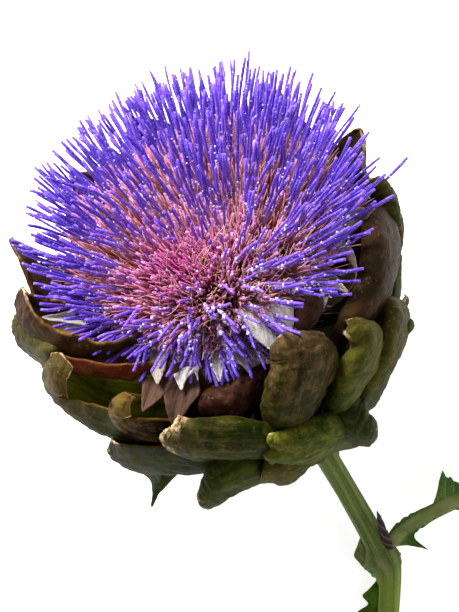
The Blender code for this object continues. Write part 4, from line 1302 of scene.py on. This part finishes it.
def makeHairs(f):
    # tan hairs curling between the florets, most on the stem's side, and white bristles below them
    random, count = f.random, hairs["count"]
    weight = 0.3 + f.close
    pick = random.choice(f.count, count, p=weight / weight.sum())
    start = f.root + (f.neck[pick] - 4 * mm)[:, None] * f.out[pick]
    heading = unit(f.out[pick] + random.normal(0, 0.9, (count, 3)))
    curled(f, "hairs", hairMaterial(), start, heading, hairs)
    count = bristles["count"]
    around, down = random.uniform(0, 360, count), random.uniform(*bristles["down"], count)
    heading = awayFromStem(f, around, down)
    start = f.root + (random.uniform(*bristles["from"], count) * mm)[:, None] * heading
    heading = unit(heading + random.normal(0, 0.12, (count, 3)))
    curled(f, "bristles", bristleMaterial(), start, heading, bristles)


def awayFromStem(f, around, down):
    # directions about the brush's axis, their angles counted from the side away from the stem
    right = unit(rightSide - (rightSide @ f.axis) * f.axis)
    return headDirection(around, down, f.axis, np.cross(f.axis, right), right)


def makeScales(f):
    # torn white scales and flattened threads in among the lowest florets, most of them on the far side
    random, count = f.random, scales["count"]
    around, down = random.normal(0, scales["around"], count), random.uniform(*scales["down"], count)
    start = f.root + (random.uniform(*scales["from"], count) * mm)[:, None] * awayFromStem(f, around, down)
    heading = unit(awayFromStem(f, around, down + 22) + random.normal(0, 0.13, (count, 3)))
    share = np.linspace(0, 1, len(scales["radii"]))
    length = random.uniform(*scales["length"], count) * mm
    paths = strands(start, heading, length, share, random.normal(0, 1.2, (count, 1, 3)) * mm)
    radii = np.array(scales["radii"]) * random.uniform(0.25, 0.8, (count, 1))
    threads("torn_scales", bristleMaterial(), paths, radii, scales["sides"])


def makeFlorets():
    florets = Florets()
    makeStyles(florets)
    makeAnthers(florets)
    makePetals(florets)
    makePollen(florets)
    makeCore(florets)
    makeFibres(florets)
    makeHairs(florets)
    makeScales(florets)
    print("florets:", florets.count)


def styleMaterial():
    skin = Finish("style_violet", 0.25, Subsurface_Weight=0.1, Subsurface_Scale=0.002)
    along, heart, tone = skin.values("along", "heart", "tone")
    skin.paint(tone, (78, 44, 170), (116, 78, 208))
    skin.paint(skin.step(0.4, 0.05, along) * 0.8, (168, 134, 196))
    skin.paint(heart * 0.8, (150, 74, 146))
    skin.paint(skin.step(0.56, 0.68, skin.noise(1600, 2)) * 0.45, (206, 196, 236))
    return skin.finish(0.55, skin.noise(2400, 2), 0.3, 0.1)


def antherMaterial():
    skin = Finish("anther_lilac", 0.2)
    along, heart, tone = skin.values("along", "heart", "tone")
    skin.paint(skin.step(0.45, 0.85, along), (184, 118, 104), (160, 96, 150))
    skin.paint(tone * 0.5, (150, 70, 126))
    skin.paint(heart, (162, 66, 132))
    skin.paint(skin.step(0.5, 0.62, skin.noise(1300, 2)) * 0.6 * along, (232, 216, 232))
    return skin.finish(0.6, skin.noise(2000, 2), 0.3, 0.1)


def petalMaterial():
    skin = Finish("petal_tan", 0.2)
    along, heart, tone = skin.values("along", "heart", "tone")
    skin.paint(tone, (208, 146, 106), (180, 112, 108))
    skin.paint(skin.step(0.75, 1.0, along) * 0.5, (166, 104, 196))
    skin.paint(heart, (172, 70, 134))
    return skin.finish(0.6)


def fibreMaterial():
    # peach threads, magenta at the heart of the brush and duller pink on the stem's side
    skin = Finish("fibre_peach", 0.15)
    along, heart, tone = skin.values("along", "heart", "tone")
    skin.paint(skin.step(0.2, 0.7, tone), (220, 158, 128), (176, 98, 122))
    skin.paint(skin.step(0.75, 0.95, tone), (206, 186, 206))
    skin.paint(heart, skin.mix(tone, (206, 82, 154), (160, 58, 126)))
    skin.paint(skin.step(0.5, 0.0, along) * 0.5, (96, 44, 70))
    return skin.finish(0.65)


def pollenMaterial():
    skin = Finish("pollen_white", 0.2)
    skin.paint(skin.noise(700, 2), (236, 230, 240), (186, 170, 220))
    return skin.finish(0.8, skin.noise(3000, 2), 0.4, 0.1)


def coreMaterial():
    # pink at the top, and the cream of the florets' lower tubes below
    skin = Finish("packed_pink", 0.1)
    grain = skin.noise(500, 4, 0.7)
    skin.paint(skin.step(0.4, 0.6, grain), (160, 92, 124), (112, 54, 86))
    lower = skin.mix(skin.step(0.4, 0.6, grain), (150, 124, 104), (84, 62, 52))
    skin.paint(skin.step(0.66, 0.8, skin.values("along")[0]), lower)
    return skin.finish(0.8, grain, 0.8, 1.2)


def bristleMaterial():
    skin = Finish("bristle_white", 0.3)
    skin.paint(skin.noise(200, 2), (240, 230, 224), (206, 180, 176))
    return skin.finish(0.6)


def hairMaterial():
    skin = Finish("hair_tan", 0.3)
    skin.paint(skin.noise(200, 2), (222, 190, 150), (196, 150, 120))
    return skin.finish(0.6)


# The stem, from the seat inside the head to the cut end: places in mm from the head's centre
# and radii in mm, with thin toothed wings down its sides: (side in degrees, from, to, height in
# mm, teeth, breadth in radians)
stem = {
    "path": (
        (5, -2.0, -4.5), (5, -6.1, -13.6), (5, -10.7, -23.7), (4.5, -26, -30), (5, -42, -30),
        (5.6, -58, -32), (5.6, -72.7, -41), (5.3, -88, -51), (4.9, -98, -56), (2.8, -104.5, -59.1),
        (-5.8, -117.3, -63.1),
    ),
    "radii": (21, 24, 20, 11, 6.3, 4.2, 3.9, 4.1, 4.9, 4.0, 3.6),
    "rings": 460,
    "sides": 120,
    "ribs": 7,
    "wings": (
        (0, 0.42, 0.53, 3.2, 3.4, 0.09), (180, 0.4, 0.5, 2.4, 3, 0.09), (180, 0.74, 0.92, 3.4, 2.3, 0.5),
        (0, 0.78, 0.86, 0.8, 2, 0.3),
    ),
}


def stemAt(along):
    return fromCentre(smoothPath(stem["path"], along)), smoothPath(stem["radii"], along) * mm


def ringGrid(along, sides):
    # angles round a tube and places along it, as grids with a row for each ring
    return np.meshgrid(np.arange(sides) * 2 * np.pi / sides, along, indexing="xy")


def makeStem():
    along = np.linspace(0, 1, stem["rings"])
    path, radius = stemAt(along)
    _, sideways, upwards = pathFrames(path, cameraAxes()[2])
    a, s = ringGrid(along, stem["sides"])
    grain = np.stack([np.cos(a), np.sin(a), s * 9], axis=-1)
    ribs = np.abs(np.cos(a * stem["ribs"] / 2 + 0.6 * latticeNoise(grain, 1.0, 1)))
    girth = 1 + 0.075 * (ribs - 0.6) + 0.03 * latticeNoise(grain * [9, 9, 1], 1.0, 2)
    reach = radius[:, None] * (girth + 0.02 * latticeNoise(grain, 0.3, 3))
    for side, start, end, height, teeth, breadth in stem["wings"]:
        share = np.clip((s - start) / (end - start), 0, 1)
        toothed = 0.45 + 0.55 * (share * teeth % 1) ** 0.7
        toothed = toothed + 0.2 * latticeNoise(grain, 0.12, int(side + teeth))
        rise = np.sin(np.pi * share) ** 0.6 * toothed * height * mm
        angle = (a - math.radians(side) + np.pi) % (2 * np.pi) - np.pi
        reach = reach + rise * np.exp(-((angle / breadth) ** 2))
    points = path[:, None] + reach[..., None] * turned(a, sideways[:, None], upwards[:, None])
    values = {"along": s, "rib": ribs, "edge": (reach - radius[:, None]) / mm}
    piece = makeTube("stem_skin", points, (path[0] - 0.4 * mm * upwards[0], path[-1]), values)
    finishPiece(piece, stemMaterial(), "stem", "stem")
    print("stem rings:", stem["rings"])


# The leaf: its midrib in mm from the head's centre, (half width, half thickness) of stalk and blade in
# mm, where the blade starts and how much later its lower side does, the lower side's ear (along, breadth,
# height in mm), and the blade's lobes: how many, how deep, and how far they sweep forward in mm
leaf = {
    "midrib": (
        (8.6, -95.5, -53.6), (13.7, -93.9, -52.9), (17.9, -93.4, -52.3), (24, -93.5, -51.9),
        (30, -93.9, -51.5), (37, -94.6, -51.2), (46, -95.5, -50.6), (56, -96, -50.3),
        (68, -95, -51.2), (79, -92.5, -53.5), (90, -88.5, -58), (100, -84.5, -64),
    ),
    "up": (0.0, -0.25, 0.97),
    "stalk": (2.7, 2.2),
    "blade": (15.0, 0.45),
    "bladeFrom": 0.35,
    "later": 0.08,
    "ear": (0.1, 0.045, 6.5),
    "lobes": 4.2,
    "depth": 0.72,
    "sweep": 5,
    "rings": 240,
    "columns": 34,
}


def makeLeaf():
    rings, columns = leaf["rings"], leaf["columns"]
    (stalkWidth, stalkThick), (bladeWidth, bladeThick) = leaf["stalk"], leaf["blade"]
    along = (np.arange(rings) + 0.5) / rings
    midrib = fromCentre(smoothPath(leaf["midrib"], along))
    forward, sideways, upwards = (part[:, None] for part in pathFrames(midrib, leaf["up"]))
    s, t = np.meshgrid(along, -np.cos(np.pi * np.arange(columns + 1) / columns), indexing="ij")
    flat = np.zeros_like(s)

    # the outline: a stalk with ragged wings, then lobes with teeth, which start later on the lower side
    lower = np.sign(t) * np.sign(sideways @ cameraAxes()[1]) < 0
    start = leaf["bladeFrom"] + leaf["later"] * lower
    spread = np.clip((s - start) / (1 - start), 0, 1)
    phase = leaf["lobes"] * spread + 0.12 * np.sign(t)
    lobe = 1 - leaf["depth"] * (0.5 + 0.5 * np.cos(2 * np.pi * phase)) ** 0.8
    teeth = latticeNoise(np.stack([s * 60, np.sign(t), flat], axis=-1), 1.0, 4)
    teeth = 1 + 0.16 * teeth + 0.1 * (s * 48 % 1)
    blade = np.sin(np.pi * spread**0.8) ** 0.8 * lobe * teeth
    earAt, earBreadth, earHeight = leaf["ear"]
    ear = np.exp(-(((s - earAt) / earBreadth) ** 2)) * earHeight * lower * teeth
    near, far = np.clip(s / 0.04, 0, 1), np.clip((s - 0.93) / 0.07, 0, 1)
    ends = np.sqrt(1 - (1 - near) ** 2) * np.sqrt(1 - far**2)
    stalk = stalkWidth * (1 - 0.85 * spread) * ends
    wing = 0.6 + 0.4 * latticeNoise(np.stack([s * 50, t, s], axis=-1), 1.0, 6)
    wing = 0.9 * smooth(0.02, 0.1, s) * (1 - smooth(0.2, 0.34, s)) * wing
    offset = t * (stalk + (bladeWidth - 1) * blade * ends + wing + ear * ends) * mm
    away = np.abs(offset) / mm

    # its thickness, the lift of its sides, its waves and its veins
    inner = np.minimum(np.abs(offset) / (stalk * mm + 1e-6), 1)
    thick = (stalkThick * (1 - 0.8 * spread) - bladeThick) * np.sqrt(np.clip(1 - inner**2, 0, 1))
    thick = ((bladeThick + thick) * ends * np.sqrt(np.clip(1 - t**8, 0, 1)) * mm)[..., None]
    vein = np.abs((s * 26 - away * 0.085) % 1 - 0.5) * 2
    wave = 1.1 * latticeNoise(np.stack([s * 0.12, offset, flat], axis=-1), 9 * mm, 8) * smooth(2, 10, away)
    lift = (0.072 * away**1.25 + wave + 0.35 * smooth(0.0, 0.5, vein) * smooth(1.5, 5, away)) * mm
    sweep = leaf["sweep"] * (away / bladeWidth) ** 1.6 * mm
    points = midrib[:, None] + offset[..., None] * sideways + lift[..., None] * upwards
    points = points + sweep[..., None] * forward
    normals = surfaceNormals(points)
    normals = normals * np.sign((normals * upwards).sum(axis=-1, keepdims=True))
    faces = bothFaces(points + thick * normals * 0.6, points - thick * normals)
    values = {"away": (away, away), "vein": (vein, vein), "upper": (flat + 1, flat)}
    values = {key: bothFaces(*pair) for key, pair in values.items()}
    piece = makeTube("leaf_blade", faces, (points[0].mean(axis=0), points[-1].mean(axis=0)), values)
    finishPiece(piece, leafMaterial(), "leaf", "leaf")
    print("leaf rings:", rings)


# Small leaves shaped on a net, as bracts are: half thickness in mm and colours, and what they all share
smallLeaves = {
    "head_leaf": {"thick": 0.5, "low": (66, 88, 62), "high": (92, 112, 84), "ragged": 0.2},
    "stem_leaf_1": {"thick": 0.5, "low": (110, 126, 92), "high": (142, 154, 122)},
    "stem_leaf_2": {"thick": 0.6, "low": (70, 116, 36), "high": (96, 138, 50)},
}
leafLooks = {"plump": 2, "ragged": 1.0, "wave": 0.8, "flushed": 0.3, "cream": 0.0, "tip": 0.0, "tone": 0.6}


def makeSmallLeaves():
    for name, own in smallLeaves.items():
        looks = {**plainBract, **leafLooks, "flush": own["high"], "inner": own["low"], **own}
        piece = makeMesh("skin_" + name, *bractPoints(name, None, looks, own["thick"] * mm))
        finishPiece(piece, bractMaterial(name, looks), "leaf", name)
    print("small leaves:", len(smallLeaves))


# The bud: a curved path in mm from the head's centre, the radius along it, and its spiral of scales: how
# many start round it, and how many times they go round
bud = {
    "path": (
        (8.4, -97.6, -50.6), (8.6, -94.6, -49.6), (9.4, -90.8, -46.9), (10.4, -87, -44.4),
        (11, -84.6, -43.0),
    ),
    "radii": (1.0, 1.5, 1.3, 0.85, 0.12),
    "scales": (3, 5),
    "rings": 60,
    "sides": 30,
}


def makeBud():
    along = np.linspace(0, 1, bud["rings"])
    path = fromCentre(smoothPath(bud["path"], along))
    _, sideways, upwards = pathFrames(path, rightSide)
    a, s = ringGrid(along, bud["sides"])
    starts, turns = bud["scales"]
    scale = (a / (2 * np.pi) * starts + s * turns) % 1
    reach = smoothPath(bud["radii"], along)[:, None] * mm * (0.86 + 0.24 * scale)
    points = path[:, None] + reach[..., None] * turned(a, sideways[:, None], upwards[:, None])
    piece = makeTube("bud_skin", points, (path[0], path[-1]), {"along": s, "scale": scale})
    finishPiece(piece, budMaterial(), "bud", "bud")
    print("bud rings:", bud["rings"])


def stemMaterial():
    # green with paler ribs, grey fuzz, a brown node, and darker brown inside the head
    skin = Finish("stem_green", 0.15)
    along, rib, edge = skin.values("along", "rib", "edge")
    blotch, fuzz = skin.noise(90, 4), skin.noise(1500, 3, 0.7)
    streak = skin.noise(1, 4, 0.6, skin.vector(along * 12, rib * 2.5, edge * 0.8))
    skin.paint(skin.step(0.35, 0.65, blotch * 0.5 + streak * 0.5), (62, 74, 24), (88, 102, 42))
    skin.paint(skin.step(0.7, 1.0, rib) * 0.5, (120, 132, 60))
    skin.paint(skin.step(0.84, 0.94, along) * 0.6, (126, 144, 40))
    skin.paint(skin.step(0.7, 1.6, edge) * 0.6, (86, 120, 60))
    skin.paint(skin.step(0.45, 0.7, fuzz) * 0.2, (150, 156, 124))
    node = skin.step(0.7, 0.78, along) * skin.step(0.86, 0.8, along)
    skin.paint(node * skin.step(0.45, 0.6, blotch) * 0.6, (120, 110, 84))
    skin.paint(skin.step(0.34, 0.24, along), (70, 60, 34))
    skin.paint(skin.step(0.995, 0.999, along), (170, 168, 120))
    return skin.finish(0.62, streak * 0.5 + fuzz * 0.3 + blotch * 0.2, 0.6, 0.4)


def leafMaterial():
    # green above with pale veins and yellow-green midrib, grey and woolly underneath
    skin = Finish("leaf_green", 0.15)
    away, vein, upper = skin.values("away", "vein", "upper")
    blotch, fuzz = skin.noise(120, 4), skin.noise(1400, 3, 0.7)
    patches = skin.step(0.35, 0.65, blotch)
    stalk = skin.mix(patches, (104, 118, 58), (134, 140, 84))
    stalk = skin.mix(skin.step(0.55, 0.68, skin.noise(260, 3)) * 0.5, stalk, (128, 98, 78))
    woolly = skin.mix(patches, (120, 132, 104), (150, 158, 134))
    skin.paint(patches, (50, 86, 24), (82, 116, 42))
    skin.paint(skin.step(0.25, 0.05, vein) * 0.6, (126, 146, 78))
    skin.paint(1 - upper, woolly)
    skin.paint(skin.step(2.9, 1.6, away), stalk)
    skin.paint(skin.step(0.45, 0.7, fuzz) * 0.15, (160, 166, 138))
    return skin.finish(0.6, blotch * 0.4 + fuzz * 0.3 + vein * 0.3, 0.5, 0.4)


def budMaterial():
    skin = Finish("bud_purple", 0.2)
    along, scale = skin.values("along", "scale")
    fuzz = skin.noise(1500, 3)
    skin.paint(skin.step(0.5, 1.0, scale + (fuzz - 0.5) * 0.6), (40, 26, 30), (96, 82, 84))
    skin.paint(skin.step(0.7, 1.0, along) * 0.5, (70, 78, 60))
    return skin.finish(0.6, fuzz, 0.5, 0.2)


# Stage: a pale floor, soft light, and the camera where the photograph was taken from. Turn and tilt in
# degrees, the sensor's height in mm, sizes and distances in metres, power in watts. A light stands
# towards the camera, up and right in the picture by the shares given
view = {
    "turn": 31.0,
    "tilt": 15.6,
    "metresPerPixel": 0.34 * mm,
    "distance": 0.75,
    "centrePixel": (212, 298),
    "imageSize": (459, 612),
    "sensor": 24,
}
lights = {
    "key": {"towards": (0.5, 0.9, -0.6), "distance": 1.2, "size": 0.6, "power": 48},
    "fill": {"towards": (0.8, -0.1, 0.6), "distance": 1.6, "size": 1.0, "power": 7},
}
stage = {"halfSize": 4, "floorGlow": 0.72, "skyStrength": 0.4}


def cameraAxes():
    # image right, image up, and the direction from the plant to the camera
    turn, tilt = math.radians(view["turn"]), math.radians(view["tilt"])
    toCamera = np.array([0, -math.sin(tilt), math.cos(tilt)])
    steep = np.array([0, math.cos(tilt), math.sin(tilt)])
    right = -math.sin(turn) * steep + math.cos(turn) * rightSide
    up = math.cos(turn) * steep + math.sin(turn) * rightSide
    return right, up, toCamera


def placeByAxes(name, data, right, up, back, where):
    # a camera or light at a place, with these three axes
    thing = bpy.data.objects.new(name, data)
    bpy.context.scene.collection.objects.link(thing)
    matrix = np.eye(4)
    matrix[:3] = np.stack([right, up, back, where], axis=1)
    thing.matrix_world = Matrix(matrix.tolist())
    return thing


def makeCamera():
    right, up, toCamera = cameraAxes()
    width, height = view["imageSize"]
    x, y = view["centrePixel"]
    aim = headCentre - (right * (x - width / 2) + up * (height / 2 - y)) * view["metresPerPixel"]
    data = bpy.data.cameras.new("camera")
    data.sensor_fit = "VERTICAL"
    data.sensor_height = view["sensor"]
    data.lens = view["sensor"] * view["distance"] / (height * view["metresPerPixel"])
    eye = aim + toCamera * view["distance"]
    bpy.context.scene.camera = placeByAxes("camera", data, right, up, toCamera, eye)


def makeLights():
    right, up, toCamera = cameraAxes()
    for name, light in lights.items():
        data = bpy.data.lights.new(name, "AREA")
        data.shape = "DISK"
        data.size = light["size"]
        data.energy = light["power"]
        near, high, aside = light["towards"]
        back = unit(near * toCamera + high * up + aside * right)
        level = unit(np.cross([0.0, 1.0, 0.001], back))
        placeByAxes(name, data, level, np.cross(back, level), back, headCentre + back * light["distance"])
    world = bpy.data.worlds.new("studio")
    world.use_nodes = True
    sky = world.node_tree.nodes["Background"].inputs
    sky["Color"].default_value = (1, 1, 1, 1)
    sky["Strength"].default_value = stage["skyStrength"]
    bpy.context.scene.world = world
    bpy.context.scene.view_settings.view_transform = "Standard"


def makeFloor():
    corners = np.array([[-1, -1, 0], [1, -1, 0], [1, 1, 0], [-1, 1, 0]], float) * stage["halfSize"]
    floor = makeMesh("floor", corners, [[0, 1, 2, 3]])
    paint = Finish("floor_pale", 0.1, Emission_Color=(1, 1, 1, 1), Emission_Strength=stage["floorGlow"])
    paint.paint(paint.noise(6, 3), (246, 246, 247), (250, 250, 250))
    floor.data.materials.append(paint.finish(0.9))


makeCamera()
makeFloor()
makeLights()
makeBracts()
makeFlorets()
makeStem()
makeLeaf()
makeSmallLeaves()
makeBud()
